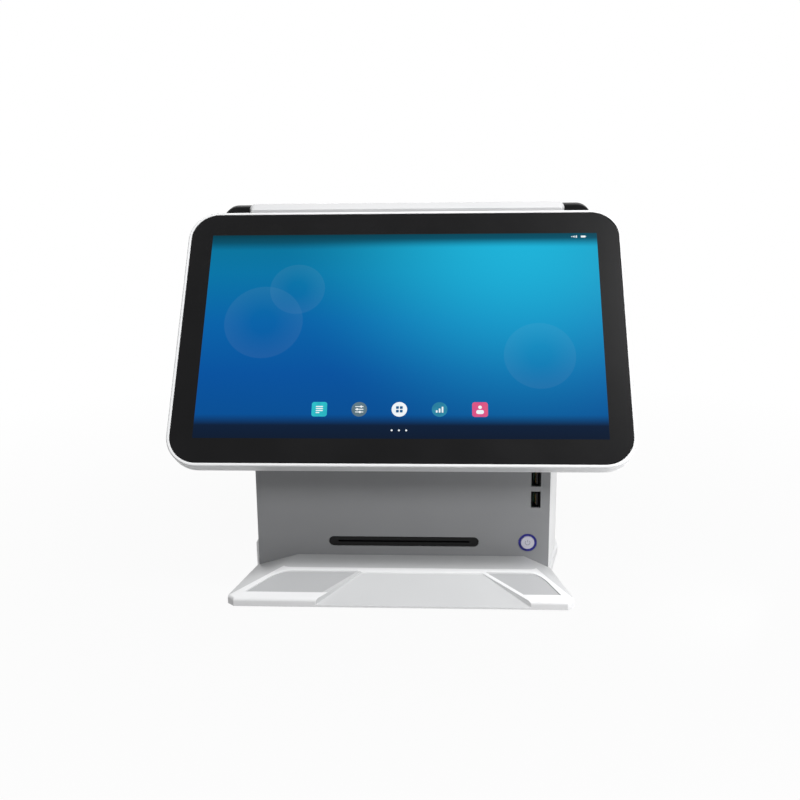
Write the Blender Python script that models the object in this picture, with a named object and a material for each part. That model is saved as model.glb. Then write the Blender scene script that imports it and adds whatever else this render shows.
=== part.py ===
"""Point-of-sale touchscreen terminal: a tilting main display and a customer display on one pedestal.

Metres, +Z up. The operator stands at -Y and the customer at +Y.
The origin lies on the counter, under the middle of the base.
"""

import math

import bmesh
import bpy

# Clearances
SEAT_GAP = 0.0003
RUNNING_GAP = 0.0003
SWING_GAP = 0.0025
SOCKET_GAP = 0.0004

# Base shell
BASE_WIDTH = 0.292
BASE_DEPTH = 0.248
BASE_WAIST = 0.264
BASE_CORNER = 0.006
BASE_REAR_RADIUS = 0.020
LIP_HEIGHT = 0.0084
WAIST_HEIGHT = 0.0115
PLATEAU_HEIGHT = 0.0222
PLATEAU_LEFT = -0.1075
PLATEAU_RIGHT = 0.1215
PLATEAU_TAPER = 0.013
PLATEAU_BEND = 0.013
SLOPE_RUN = 0.036
RAMP_REAR_LEFT = -0.0342
RAMP_REAR_RIGHT = 0.0705
RAMP_FRONT_LEFT = -0.0704
RAMP_FRONT_RIGHT = 0.1095
RAMP_TOP_LIP = 0.0050
RAMP_STEP = 0.0010
RAMP_TOE = 0.0034
BASE_WALL = 0.0030
WELL_MARGIN = 0.0010
WELL_LEDGE = 0.0090

# Tray panels let into the front slope
TRAY_REAR_LIP = 0.0035
TRAY_FRONT_LIP = 0.0080
TRAY_RAMP_LIP = 0.0045
TRAY_HIP_LIP = 0.0052
TRAY_BEND = 0.012
TRAY_RECESS = 0.0024
TRAY_THICKNESS = 0.0010

# Base plate, feet and screws
PLATE_THICKNESS = 0.0015
PLATE_EDGE = 0.0055
PLATE_FRONT_SETBACK = 0.020
FOOT_HEIGHT = 0.0015
FOOT_RADIUS = 0.009
FOOT_INSET_X = 0.030
FOOT_INSET_Y = 0.034
SCREW_RADIUS = 0.0015
SCREW_HEAD_RADIUS = 0.0032
SCREW_HEAD_HEIGHT = 0.0010
SCREW_BITE = 0.0034
SCREW_FOOT_GAP = 0.004
STANDOFF_RADIUS = 0.003
STANDOFF_HEIGHT = 0.0067
STANDOFF_INSET = 0.005

# Pedestal: front panel and shell
BODY_SETBACK = 0.0665
BODY_FRONT_WIDTH = 0.2608
BODY_WIDTH = 0.287
BODY_DEPTH = 0.1165
BODY_HEIGHT = 0.150
BODY_FRONT_HEIGHT = 0.125
BODY_REAR_RADIUS = 0.010
BODY_LEAST_RADIUS = 0.0025
FLARE_RUN = 0.0635
TOP_SLOPE_RUN = 0.0505
PANEL_THICKNESS = 0.003
SHELL_WALL = 0.003

# Speaker slot in the front panel
SLOT_X = 0.0010
SLOT_Z = 0.035
SLOT_LENGTH = 0.1346
SLOT_HEIGHT = 0.009
SLOT_SLIT_LENGTH = 0.118
SLOT_SLIT_HEIGHT = 0.0016
SLOT_FLANGE = 0.0045
SLOT_FLANGE_THICKNESS = 0.0015
SPEAKER_LENGTH = 0.046
SPEAKER_HEIGHT = 0.016
SPEAKER_RADIUS = 0.005
SPEAKER_DEPTH = 0.010
SPEAKER_SPREAD = 0.033

# Front USB sockets and their board
USB_X = 0.118
USB_LOWER_Z = 0.0752
USB_PITCH = 0.0195
USB_WINDOW_HEIGHT = 0.0150
USB_WINDOW_WIDTH = 0.0084
USB_SHELL_HEIGHT = 0.0134
USB_SHELL_WIDTH = 0.0060
USB_SHELL_WALL = 0.0004
USB_SHELL_RADIUS = 0.0008
USB_MOUTH_SETBACK = 0.0004
USB_TONGUE_HEIGHT = 0.0112
USB_TONGUE_THICKNESS = 0.0019
USB_TONGUE_OFFSET = 0.0009
USB_TONGUE_SETBACK = 0.0012
BOARD_STANDOFF = 0.010
BOARD_THICKNESS = 0.0016
BOARD_LEFT_MARGIN = 0.014
BOARD_RIGHT_MARGIN = 0.0045
BOARD_MARGIN_Z = 0.0060
POST_RADIUS = 0.0025
POST_INSET = 0.0040

# Power button
BUTTON_X = 0.1116
BUTTON_Z = 0.035
BUTTON_RADIUS = 0.0060
BUTTON_PROUD = 0.0004
BUTTON_TRAVEL = 0.0012
BUTTON_SKIRT = 0.0014
BUTTON_SKIRT_THICKNESS = 0.0010
BUTTON_STEM_RADIUS = 0.0025
RING_WIDTH = 0.0017
RING_PROUD = 0.0006
RING_FLANGE = 0.0020
RING_FLANGE_THICKNESS = 0.0012
SWITCH_WIDTH = 0.0100
SWITCH_DEPTH = 0.0030
SWITCH_NIB_RADIUS = 0.0016
SWITCH_NIB_HEIGHT = 0.0008

# Mainboard and rear sockets
MAINBOARD_WIDTH = 0.110
MAINBOARD_FRONT_SETBACK = 0.079
MAINBOARD_REAR_SETBACK = 0.009
MAINBOARD_THICKNESS = 0.0016
SINK_WIDTH = 0.050
SINK_DEPTH = 0.050
SINK_BASE = 0.004
SINK_HEIGHT = 0.018
SINK_FINS = 6
SINK_FIN_THICKNESS = 0.002
SOCKET_HEIGHT = 0.0134
SOCKET_DEPTH = 0.0205
SOCKET_SETBACK = 0.0020
SOCKET_FLOOR = 0.004
NETWORK_X = -0.036
NETWORK_WIDTH = 0.016
NETWORK_MOUTH_WIDTH = 0.0118
NETWORK_MOUTH_HEIGHT = 0.0082
DRAWER_X = -0.013
DRAWER_WIDTH = 0.0135
DRAWER_MOUTH_WIDTH = 0.0098
DRAWER_MOUTH_HEIGHT = 0.0068
POWER_X = 0.010
POWER_WIDTH = 0.0120
POWER_MOUTH_RADIUS = 0.0033
POWER_PIN_RADIUS = 0.0010
POWER_PIN_SETBACK = 0.0020
IO_MARGIN_X = 0.008
IO_PLATE_MARGIN = 0.004
IO_PLATE_THICKNESS = 0.001
IO_WINDOW_MARGIN = 0.0025

# Hinge arms, neck cover and shafts
ARM_SPREAD = 0.062
ARM_THICKNESS = 0.004
ARM_FOOT_WIDTH = 0.018
ARM_FOOT_THICKNESS = 0.003
ARM_AIR = 0.0025
ARM_SLEEVE_GAP = 0.0009
EYE_RADIUS = 0.010
NECK_AIR = 0.003
NECK_WALL = 0.0025
NECK_INSET = 0.002
SHAFT_RADIUS = 0.005
SHAFT_OVERHANG = 0.001
WASHER_THICKNESS = 0.0024
WASHER_RADIUS = 0.009
KNUCKLE_THICKNESS = 0.008
KNUCKLE_LENGTH = 0.044
KNUCKLE_FLANGE = 0.020
KNUCKLE_FLANGE_THICKNESS = 0.0022
NUT_THICKNESS = 0.006
NUT_ACROSS_FLATS = 0.016

# Main display
DISPLAY_TILT = math.radians(33.65)
GLASS_SETBACK = 0.072
GLASS_HEIGHT = 0.2236
GLASS_WIDTH = 0.383
GLASS_TALL = 0.236
GLASS_RADIUS = 0.024
GLASS_THICKNESS = 0.002
RIM_WIDTH = 0.003
FRAME_DEPTH = 0.008
CASING_DEPTH = 0.018
CASING_EDGE = 0.006
CASING_WALL = 0.0025
HUMP_SIDE_MARGIN = 0.0415
HUMP_END_MARGIN = 0.043
HUMP_RADIUS = 0.018
HUMP_DEPTH = 0.026
HUMP_DRAFT = 0.008
LCD_SIDE_MARGIN = 0.0145
LCD_END_MARGIN = 0.016
LCD_DEPTH = 0.0057
CHASSIS_MARGIN = 0.004
CHASSIS_THICKNESS = 0.0015
DRIVER_WIDTH = 0.130
DRIVER_TALL = 0.070
HINGE_BELOW_CENTRE = 0.010

# Customer display
CUSTOMER_TILT = math.radians(10.0)
CUSTOMER_AXIS_SETBACK = 0.179
CUSTOMER_AXIS_Z = 0.211
CUSTOMER_WIDTH = 0.354
CUSTOMER_TALL = 0.222
CUSTOMER_RADIUS = 0.015
CUSTOMER_FRAME_DEPTH = 0.0098
CUSTOMER_FRAME_WALL = 0.0025
CUSTOMER_FLOOR = 0.002
CUSTOMER_CENTRE_RISE = 0.0033
CUSTOMER_GLASS_THICKNESS = 0.002
CUSTOMER_LCD_MARGIN = 0.0015
CUSTOMER_COVER_WIDTH = 0.301
CUSTOMER_COVER_TOP = 0.117
CUSTOMER_COVER_BOTTOM = -0.104
CUSTOMER_COVER_DEPTH = 0.010
CUSTOMER_COVER_RADIUS = 0.006
CUSTOMER_COVER_DRAFT = 0.004

# Facets
CORNER_STEPS = 6
BEND_STEPS = 6
USB_CORNER_STEPS = 2
SLOT_STEPS = 10
SCREW_STEPS = 12
ROUND_STEPS = 24
EYE_STEPS = 24
SHARP_ANGLE = math.radians(32)
COLLINEAR = 1e-12

# Places that follow from the sizes above
FRONT_Y = -BASE_DEPTH / 2
REAR_Y = BASE_DEPTH / 2
PANEL_Y = FRONT_Y + BODY_SETBACK
PANEL_BACK_Y = PANEL_Y + PANEL_THICKNESS
WEDGE_REAR_Y = PANEL_Y - SEAT_GAP
PLATEAU_Y = FRONT_Y + SLOPE_RUN
SHELL_FRONT_Y = PANEL_BACK_Y + SEAT_GAP
SHELL_REAR_Y = PANEL_Y + BODY_DEPTH
SHELL_INNER_REAR_Y = SHELL_REAR_Y - SHELL_WALL
FLARE_Y = PANEL_Y + FLARE_RUN
TOP_FLAT_Y = PANEL_Y + TOP_SLOPE_RUN
PLATE_BOTTOM = FOOT_HEIGHT + SEAT_GAP
PLATE_TOP = PLATE_BOTTOM + PLATE_THICKNESS
TRAY_FLOOR = PLATE_TOP + SEAT_GAP
BODY_BOTTOM = LIP_HEIGHT + SEAT_GAP
MAINBOARD_BOTTOM = PLATE_TOP + STANDOFF_HEIGHT + SEAT_GAP
MAINBOARD_TOP = MAINBOARD_BOTTOM + MAINBOARD_THICKNESS
MAINBOARD_FRONT_Y = FRONT_Y + MAINBOARD_FRONT_SETBACK
MAINBOARD_REAR_Y = SHELL_REAR_Y - MAINBOARD_REAR_SETBACK
SOCKET_BOTTOM = MAINBOARD_TOP + SEAT_GAP
SOCKET_REAR_Y = SHELL_REAR_Y - SOCKET_SETBACK
BOARD_FRONT_Y = PANEL_BACK_Y + BOARD_STANDOFF
NECK_FRONT_Y = TOP_FLAT_Y + NECK_INSET
NECK_REAR_Y = SHELL_REAR_Y - NECK_INSET
ARM_FRONT_Y = NECK_FRONT_Y + NECK_WALL + ARM_AIR
ARM_REAR_Y = NECK_REAR_Y - NECK_WALL - ARM_AIR
ARM_OUTER_X = ARM_SPREAD + ARM_THICKNESS
NECK_INNER_X = ARM_OUTER_X + NECK_AIR
NECK_OUTER_X = NECK_INNER_X + NECK_WALL
NECK_RADIUS = EYE_RADIUS + NECK_AIR + NECK_WALL
STANDOFF = NECK_RADIUS + SWING_GAP
SHAFT_BORE = SHAFT_RADIUS + RUNNING_GAP
WASHER_X = NECK_OUTER_X + SEAT_GAP
KNUCKLE_X = WASHER_X + WASHER_THICKNESS + SEAT_GAP
NUT_X = KNUCKLE_X + KNUCKLE_THICKNESS + SEAT_GAP
SHAFT_END_X = NUT_X + NUT_THICKNESS + SHAFT_OVERHANG
HINGE_BEHIND_GLASS = HUMP_DEPTH + STANDOFF
HUMP_WIDTH = GLASS_WIDTH - 2 * HUMP_SIDE_MARGIN
HUMP_TALL = GLASS_TALL - 2 * HUMP_END_MARGIN
LCD_WIDTH = GLASS_WIDTH - 2 * LCD_SIDE_MARGIN
LCD_TALL = GLASS_TALL - 2 * LCD_END_MARGIN
GLASS_Y = FRONT_Y + GLASS_SETBACK
LEAN = math.sin(DISPLAY_TILT)
RISE = math.cos(DISPLAY_TILT)
MAIN_AXIS_Y = GLASS_Y - HINGE_BELOW_CENTRE * LEAN + HINGE_BEHIND_GLASS * RISE
MAIN_AXIS_Z = GLASS_HEIGHT - HINGE_BELOW_CENTRE * RISE - HINGE_BEHIND_GLASS * LEAN
CUSTOMER_AXIS_Y = FRONT_Y + CUSTOMER_AXIS_SETBACK
CUSTOMER_FRAME_Y = STANDOFF + CUSTOMER_COVER_DEPTH + SEAT_GAP

# Finishes: linear colour, roughness, metallic
FINISHES = {
    "white_plastic": ((0.82, 0.82, 0.82), 0.38, 0.0),
    "grey_plastic": ((0.30, 0.30, 0.31), 0.42, 0.0),
    "tray_grey": ((0.48, 0.48, 0.49), 0.55, 0.0),
    "cover_grey": ((0.66, 0.66, 0.67), 0.45, 0.0),
    "black_plastic": ((0.012, 0.012, 0.013), 0.40, 0.0),
    "black_glass": ((0.010, 0.010, 0.011), 0.08, 0.0),
    "rubber": ((0.020, 0.020, 0.020), 0.85, 0.0),
    "steel": ((0.55, 0.55, 0.56), 0.35, 1.0),
    "aluminium": ((0.72, 0.72, 0.73), 0.40, 1.0),
    "circuit_board": ((0.010, 0.110, 0.045), 0.50, 0.0),
    "lit_ring": ((0.060, 0.060, 0.260), 0.30, 0.0),
    "button_grey": ((0.62, 0.62, 0.64), 0.40, 0.0),
}


def clear_scene():
    for obj in list(bpy.data.objects):
        bpy.data.objects.remove(obj, do_unlink=True)


def finish_material(name, finish):
    """A Principled material for one sub-part."""
    colour, roughness, metallic = FINISHES[finish]
    material = bpy.data.materials.new(name)
    material.use_nodes = True
    shader = material.node_tree.nodes["Principled BSDF"]
    shader.inputs["Base Color"].default_value = (*colour, 1.0)
    shader.inputs["Roughness"].default_value = roughness
    shader.inputs["Metallic"].default_value = metallic
    return material


def link_mesh(name, bm, finish=None, parent=None):
    """Turn a bmesh into an object. One without a finish is a helper that isn't part of the terminal."""
    bmesh.ops.recalc_face_normals(bm, faces=bm.faces)
    mesh = bpy.data.meshes.new(name)
    bm.to_mesh(mesh)
    bm.free()
    mesh.shade_smooth()
    mesh.set_sharp_from_angle(angle=SHARP_ANGLE)
    obj = bpy.data.objects.new(name, mesh)
    bpy.context.scene.collection.objects.link(obj)
    obj.parent = parent
    if finish:
        mesh.materials.append(finish_material(name + "_finish", finish))
    else:
        obj.hide_render = True
        obj.display_type = "WIRE"
    return obj


def combine(target, helper, operation="DIFFERENCE"):
    """Cut a helper out of a piece, or join it on."""
    modifier = target.modifiers.new(helper.name, "BOOLEAN")
    modifier.operation = operation
    modifier.solver = "EXACT"
    modifier.object = helper
    return target


def axis_point(axis, along, a, b):
    """A point at a distance along one axis; a and b are the two other coordinates in X, Y, Z order."""
    return {"X": (along, a, b), "Y": (a, along, b), "Z": (a, b, along)}[axis]


def loft(name, rings, finish=None, parent=None, closed=False):
    """Join rings of equally many points. A closed loft runs on from its last ring to its first one."""
    bm = bmesh.new()
    loops = [[bm.verts.new(point) for point in ring] for ring in rings]
    pairs = list(zip(loops, loops[1:]))
    if closed:
        pairs.append((loops[-1], loops[0]))
    for near, far in pairs:
        for i in range(len(near)):
            j = (i + 1) % len(near)
            bm.faces.new((near[i], near[j], far[j], far[i]))
    if not closed:
        bm.faces.new(reversed(loops[0]))
        bm.faces.new(loops[-1])
    return link_mesh(name, bm, finish, parent)


def prism(name, outline, low, high, axis="Z", finish=None, parent=None):
    """Extrude an outline along an axis."""
    rings = [[axis_point(axis, along, a, b) for a, b in outline] for along in (low, high)]
    return loft(name, rings, finish, parent)


def arc(centre, radius, start, end, steps):
    """Points on a circle from one angle to another, in degrees."""
    angles = [math.radians(start + (end - start) * i / steps) for i in range(steps + 1)]
    return [(centre[0] + radius * math.cos(t), centre[1] + radius * math.sin(t)) for t in angles]


def circle(radius, centre=(0.0, 0.0), steps=ROUND_STEPS):
    return arc(centre, radius, 0, 360, steps)[:-1]


def rectangle(width, tall, centre=(0.0, 0.0)):
    x, z = width / 2, tall / 2
    return [(centre[0] + a, centre[1] + b) for a, b in ((-x, -z), (x, -z), (x, z), (-x, z))]


def rounded_rectangle(width, tall, radius, centre=(0.0, 0.0), steps=CORNER_STEPS):
    x, z = width / 2 - radius, tall / 2 - radius
    corners = ((x, z, 0), (-x, z, 90), (-x, -z, 180), (x, -z, 270))
    points = []
    for a, b, start in corners:
        points += arc((centre[0] + a, centre[1] + b), radius, start, start + 90, steps)
    return points


def stadium(length, height, centre=(0.0, 0.0)):
    reach = (length - height) / 2
    right = arc((centre[0] + reach, centre[1]), height / 2, -90, 90, SLOT_STEPS)
    left = arc((centre[0] - reach, centre[1]), height / 2, 90, 270, SLOT_STEPS)
    return right + left


def hexagon(across_flats, centre, steps=ROUND_STEPS):
    """Points round a hexagon, as many as a circle has."""
    points = []
    for i in range(steps):
        angle = 2 * math.pi * i / steps
        radius = across_flats / 2 / math.cos((angle + math.pi / 6) % (math.pi / 3) - math.pi / 6)
        points.append((centre[0] + radius * math.cos(angle), centre[1] + radius * math.sin(angle)))
    return points


def wrap(points):
    """The convex outline round some points, anticlockwise."""

    def turn(o, a, b):
        return (a[0] - o[0]) * (b[1] - o[1]) - (a[1] - o[1]) * (b[0] - o[0])

    ordered = sorted(set(points))
    halves = []
    for run in (ordered, ordered[::-1]):
        half = []
        for point in run:
            while len(half) > 1 and turn(half[-2], half[-1], point) <= COLLINEAR:
                half.pop()
            half.append(point)
        halves.append(half[:-1])
    return halves[0] + halves[1]


def turned(name, profile, axis, centre, finish=None, parent=None, closed=False, steps=ROUND_STEPS):
    """A round piece from (place along the axis, radius) pairs."""
    rings = []
    for along, radius in profile:
        rings.append([axis_point(axis, along, a, b) for a, b in circle(radius, centre, steps)])
    return loft(name, rings, finish, parent, closed)


def rod(name, radius, low, high, axis, centre, finish=None, parent=None):
    return turned(name, [(low, radius), (high, radius)], axis, centre, finish, parent)


def box(name, low, high, finish=None, parent=None):
    outline = [(low[0], low[1]), (high[0], low[1]), (high[0], high[1]), (low[0], high[1])]
    return prism(name, outline, low[2], high[2], "Z", finish, parent)


def axis_empty(name, y, z, tilt):
    """An empty on a hinge axis, turned so that a display built upright under it leans as it should."""
    empty = bpy.data.objects.new(name, None)
    bpy.context.scene.collection.objects.link(empty)
    empty.location = (0.0, y, z)
    empty.rotation_euler = (tilt, 0.0, 0.0)
    return empty


def blend(a, b, share):
    return a + (b - a) * share


def eased(before, corner, after, setback):
    """Points of a soft bend that cuts a corner back by one length along both of its sides."""
    ends = []
    for other in (before, after):
        share = setback / math.dist(corner, other)
        ends.append([blend(a, b, share) for a, b in zip(corner, other)])
    points = []
    for step in range(BEND_STEPS + 1):
        share = step / BEND_STEPS
        legs = [[blend(a, b, share) for a, b in zip(*leg)] for leg in ((ends[0], corner), (corner, ends[1]))]
        points.append(tuple(blend(a, b, share) for a, b in zip(*legs)))
    return points


def slope_height(y):
    """Height of the base's front slope."""
    return blend(LIP_HEIGHT, PLATEAU_HEIGHT, (y - FRONT_Y) / SLOPE_RUN)


def ramp_height(y):
    """Height of the ramp sunk into the middle of the slope."""
    top_y = PLATEAU_Y - RAMP_TOP_LIP
    return blend(RAMP_TOE, slope_height(top_y) - RAMP_STEP, (y - FRONT_Y) / (top_y - FRONT_Y))


def tray_floor_height(y):
    """Height of the floor of the recesses that hold the tray panels."""
    return slope_height(y) - TRAY_RECESS


def hip_x(side, y):
    """The slope's outer edge, which runs from the front corner up to the plateau."""
    plateau_x = PLATEAU_RIGHT if side > 0 else PLATEAU_LEFT
    return blend(side * BASE_WIDTH / 2, plateau_x, (y - FRONT_Y) / SLOPE_RUN)


def ramp_x(side, y):
    """The ramp's left or right edge."""
    front_x, rear_x = (RAMP_FRONT_RIGHT, RAMP_REAR_RIGHT) if side > 0 else (RAMP_FRONT_LEFT, RAMP_REAR_LEFT)
    return blend(front_x, rear_x, (y - FRONT_Y) / (SLOPE_RUN - RAMP_TOP_LIP))


def tray_outline(side, inset):
    """Outline in plan of a recess in the slope, between the ramp and the hip."""
    rear = PLATEAU_Y - TRAY_REAR_LIP - inset
    front = FRONT_Y + TRAY_FRONT_LIP + inset
    outline = []
    for y in (front, rear):
        outline.append((ramp_x(side, y) + side * (TRAY_RAMP_LIP + inset), y))
    for y in (rear, front):
        outline.append((hip_x(side, y) - side * (TRAY_HIP_LIP + inset), y))
    fore, aft, hip, tip = outline
    return [fore, aft, *eased(aft, hip, tip, TRAY_BEND), tip]


def column(name, plan, low, high, finish=None):
    """A solid over a plan outline, between two heights that vary with Y."""
    rings = [[(x, y, height(y)) for x, y in plan] for height in (low, high)]
    return loft(name, rings, finish)


def wedge(name):
    """The sloped front of the base, as the hull of its corners."""
    half = BASE_WIDTH / 2
    waist = BASE_WAIST / 2
    nose = [(-half, FRONT_Y + BASE_CORNER), (-half + BASE_CORNER, FRONT_Y)]
    nose += [(half - BASE_CORNER, FRONT_Y), (half, FRONT_Y + BASE_CORNER)]
    rear = [(waist, WEDGE_REAR_Y), (-waist, WEDGE_REAR_Y)]
    fronts = [(PLATEAU_LEFT, PLATEAU_Y), (PLATEAU_RIGHT, PLATEAU_Y)]
    rears = [(PLATEAU_LEFT + PLATEAU_TAPER, WEDGE_REAR_Y), (PLATEAU_RIGHT - PLATEAU_TAPER, WEDGE_REAR_Y)]
    plateau = rears + eased(fronts[1], fronts[0], rears[0], PLATEAU_BEND)
    plateau += eased(fronts[0], fronts[1], rears[1], PLATEAU_BEND)
    corners = [(x, y, FOOT_HEIGHT) for x, y in nose + rear]
    corners += [(x, y, LIP_HEIGHT) for x, y in nose]
    corners += [(x, y, WAIST_HEIGHT) for x, y in rear]
    corners += [(x, y, PLATEAU_HEIGHT) for x, y in plateau]
    bm = bmesh.new()
    for corner in corners:
        bm.verts.new(corner)
    bmesh.ops.convex_hull(bm, input=bm.verts)
    return link_mesh(name, bm, "white_plastic")


def base_tray_outline():
    """The flat part of the base, which follows the pedestal's flare."""
    half = BASE_WIDTH / 2
    waist = BASE_WAIST / 2
    overlap_y = WEDGE_REAR_Y - BASE_WALL
    bend = half - BASE_REAR_RADIUS
    right = [(waist, overlap_y), (waist, WEDGE_REAR_Y), (half, FLARE_Y)]
    right += arc((bend, REAR_Y - BASE_REAR_RADIUS), BASE_REAR_RADIUS, 0, 90, CORNER_STEPS)
    return right + [(-x, y) for x, y in reversed(right)]


def foot_places():
    """Name, X and Y of each rubber foot."""
    x = BASE_WIDTH / 2 - FOOT_INSET_X
    for row, end in (("front", -1), ("rear", 1)):
        for column_name, side in (("left", -1), ("right", 1)):
            yield f"{row}_{column_name}", side * x, end * (BASE_DEPTH / 2 - FOOT_INSET_Y)


def screw_places():
    """Name, X and Y of each base screw, just inside its foot."""
    step = FOOT_RADIUS + SCREW_HEAD_RADIUS + SCREW_FOOT_GAP
    for word, x, y in foot_places():
        yield word, x, y - math.copysign(step, y)


def plate_rectangle(inset):
    """Plan rectangle of the base plate, or of its recess."""
    x = BASE_WAIST / 2 - PLATE_EDGE - inset
    return (-x, FRONT_Y + PLATE_FRONT_SETBACK + inset), (x, REAR_Y - PLATE_EDGE - inset)


def make_base_shell():
    shell = wedge("base_shell")
    tray = prism("base_tray", base_tray_outline(), FOOT_HEIGHT, LIP_HEIGHT)
    combine(shell, tray, "UNION")
    sky = PLATEAU_HEIGHT + BASE_WALL
    rear = PLATEAU_Y - RAMP_TOP_LIP
    fore = FRONT_Y - BASE_WALL
    ramp_plan = [(ramp_x(-1, fore), fore), (ramp_x(1, fore), fore)]
    ramp_plan += [(ramp_x(1, rear), rear), (ramp_x(-1, rear), rear)]
    combine(shell, column("ramp_cut", ramp_plan, ramp_height, lambda y: sky))
    for side, word in ((-1, "left"), (1, "right")):
        combine(shell, column(f"{word}_tray_cut", tray_outline(side, 0), tray_floor_height, lambda y: sky))
    low, high = plate_rectangle(0)
    combine(shell, box("plate_recess", (*low, 0.0), (*high, TRAY_FLOOR)))
    pocket_left = PLATEAU_LEFT + PLATEAU_TAPER + BASE_WALL
    pocket_right = PLATEAU_RIGHT - PLATEAU_TAPER - BASE_WALL
    pocket_low = (pocket_left, PLATEAU_Y + BASE_WALL, 0.0)
    pocket_high = (pocket_right, WEDGE_REAR_Y - BASE_WALL, PLATEAU_HEIGHT - BASE_WALL)
    combine(shell, box("wedge_pocket", pocket_low, pocket_high))
    well_x = BODY_FRONT_WIDTH / 2 - SHELL_WALL - WELL_LEDGE
    well_low = (-well_x, SHELL_FRONT_Y + BASE_WALL, 0.0)
    well_high = (well_x, SHELL_INNER_REAR_Y - WELL_MARGIN, PLATEAU_HEIGHT)
    combine(shell, box("pedestal_well", well_low, well_high))
    for word, x, y in screw_places():
        hole_top = TRAY_FLOOR + SCREW_BITE + SEAT_GAP
        combine(shell, rod(f"{word}_screw_hole", SCREW_RADIUS + SEAT_GAP, 0.0, hole_top, "Z", (x, y)))


def make_tray_panels():
    for side, word in ((-1, "left"), (1, "right")):
        column(
            f"{word}_tray_panel",
            tray_outline(side, SEAT_GAP),
            lambda y: tray_floor_height(y) + SEAT_GAP,
            lambda y: tray_floor_height(y) + SEAT_GAP + TRAY_THICKNESS,
            "tray_grey",
        )


def standoff_places():
    x = MAINBOARD_WIDTH / 2 - STANDOFF_INSET
    for y in (MAINBOARD_FRONT_Y + STANDOFF_INSET, MAINBOARD_REAR_Y - STANDOFF_INSET):
        for side in (-1, 1):
            yield side * x, y


def make_base_plate():
    low, high = plate_rectangle(SEAT_GAP)
    plate = box("base_plate", (*low, PLATE_BOTTOM), (*high, PLATE_TOP), "steel")
    for number, (x, y) in enumerate(standoff_places()):
        root = PLATE_BOTTOM + PLATE_THICKNESS / 2
        post = rod(f"standoff_{number}", STANDOFF_RADIUS, root, PLATE_TOP + STANDOFF_HEIGHT, "Z", (x, y))
        combine(plate, post, "UNION")
    for word, x, y in screw_places():
        hole = rod(f"{word}_plate_hole", SCREW_RADIUS + SEAT_GAP, 0.0, PLATE_TOP + SEAT_GAP, "Z", (x, y))
        combine(plate, hole)


def make_feet_and_screws():
    for word, x, y in foot_places():
        rod(f"{word}_foot", FOOT_RADIUS, 0.0, FOOT_HEIGHT, "Z", (x, y), "rubber")
    for word, x, y in screw_places():
        head_top = PLATE_BOTTOM - SEAT_GAP
        profile = [(head_top - SCREW_HEAD_HEIGHT, SCREW_HEAD_RADIUS), (head_top, SCREW_HEAD_RADIUS)]
        profile += [(head_top, SCREW_RADIUS), (TRAY_FLOOR + SCREW_BITE, SCREW_RADIUS)]
        turned(f"{word}_base_screw", profile, "Z", (x, y), "steel", steps=SCREW_STEPS)


def usb_places():
    for number, word in enumerate(("lower", "upper")):
        yield word, USB_LOWER_Z + number * USB_PITCH


def board_outline():
    """X and Z limits of the socket board behind the front panel."""
    low_z = BUTTON_Z - SWITCH_WIDTH / 2 - BOARD_MARGIN_Z
    high_z = USB_LOWER_Z + USB_PITCH + USB_SHELL_HEIGHT / 2 + BOARD_MARGIN_Z
    return USB_X - BOARD_LEFT_MARGIN, USB_X + BOARD_RIGHT_MARGIN, low_z, high_z


def make_front_panel():
    tall = BODY_FRONT_HEIGHT - BODY_BOTTOM
    outline = rectangle(BODY_FRONT_WIDTH, tall, (0.0, BODY_BOTTOM + tall / 2))
    panel = prism("front_panel", outline, PANEL_Y, PANEL_BACK_Y, "Y", "grey_plastic")
    before, behind = PANEL_Y - PANEL_THICKNESS, PANEL_BACK_Y + PANEL_THICKNESS
    slot = stadium(SLOT_LENGTH, SLOT_HEIGHT, (SLOT_X, SLOT_Z))
    combine(panel, prism("slot_cut", slot, before, behind, "Y"))
    for word, z in usb_places():
        window = rectangle(USB_WINDOW_WIDTH, USB_WINDOW_HEIGHT, (USB_X, z))
        combine(panel, prism(f"{word}_usb_window", window, before, behind, "Y"))
    hole_radius = BUTTON_RADIUS + RUNNING_GAP + RING_WIDTH + SEAT_GAP
    combine(panel, rod("button_hole", hole_radius, before, behind, "Y", (BUTTON_X, BUTTON_Z)))
    left, _, _, high = board_outline()
    root = PANEL_BACK_Y - PANEL_THICKNESS / 2
    for word, z in (("lower", (BUTTON_Z + USB_LOWER_Z) / 2), ("upper", high - POST_INSET)):
        post = rod(f"{word}_post", POST_RADIUS, root, BOARD_FRONT_Y - SEAT_GAP, "Y", (left + POST_INSET, z))
        combine(panel, post, "UNION")


def shell_plan(wall):
    """Plan outline of the pedestal shell, or of its inside, open to the front, when a wall is given."""
    front = BODY_FRONT_WIDTH / 2 - wall
    half = BODY_WIDTH / 2 - wall
    front_y = SHELL_FRONT_Y - wall
    rear_y = SHELL_REAR_Y - wall
    radius = max(BODY_REAR_RADIUS - wall, BODY_LEAST_RADIUS)
    right = [(front, front_y), (half, FLARE_Y)]
    right += arc((half - radius, rear_y - radius), radius, 0, 90, CORNER_STEPS)
    return right + [(-x, y) for x, y in reversed(right)]


def shell_side(wall):
    """Side outline of the pedestal shell, with its top sloping down to the front panel."""
    rise = (BODY_HEIGHT - BODY_FRONT_HEIGHT) / TOP_SLOPE_RUN
    top = BODY_HEIGHT - wall
    drop = wall * math.hypot(1, rise)
    knee_y = TOP_FLAT_Y + (drop - wall) / rise
    front_y = SHELL_FRONT_Y - 2 * wall
    front_z = BODY_FRONT_HEIGHT + (front_y - PANEL_Y) * rise - drop
    bottom = BODY_BOTTOM - 2 * wall
    rear_y = SHELL_REAR_Y - wall
    return [(front_y, bottom), (rear_y, bottom), (rear_y, top), (knee_y, top), (front_y, front_z)]


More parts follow.
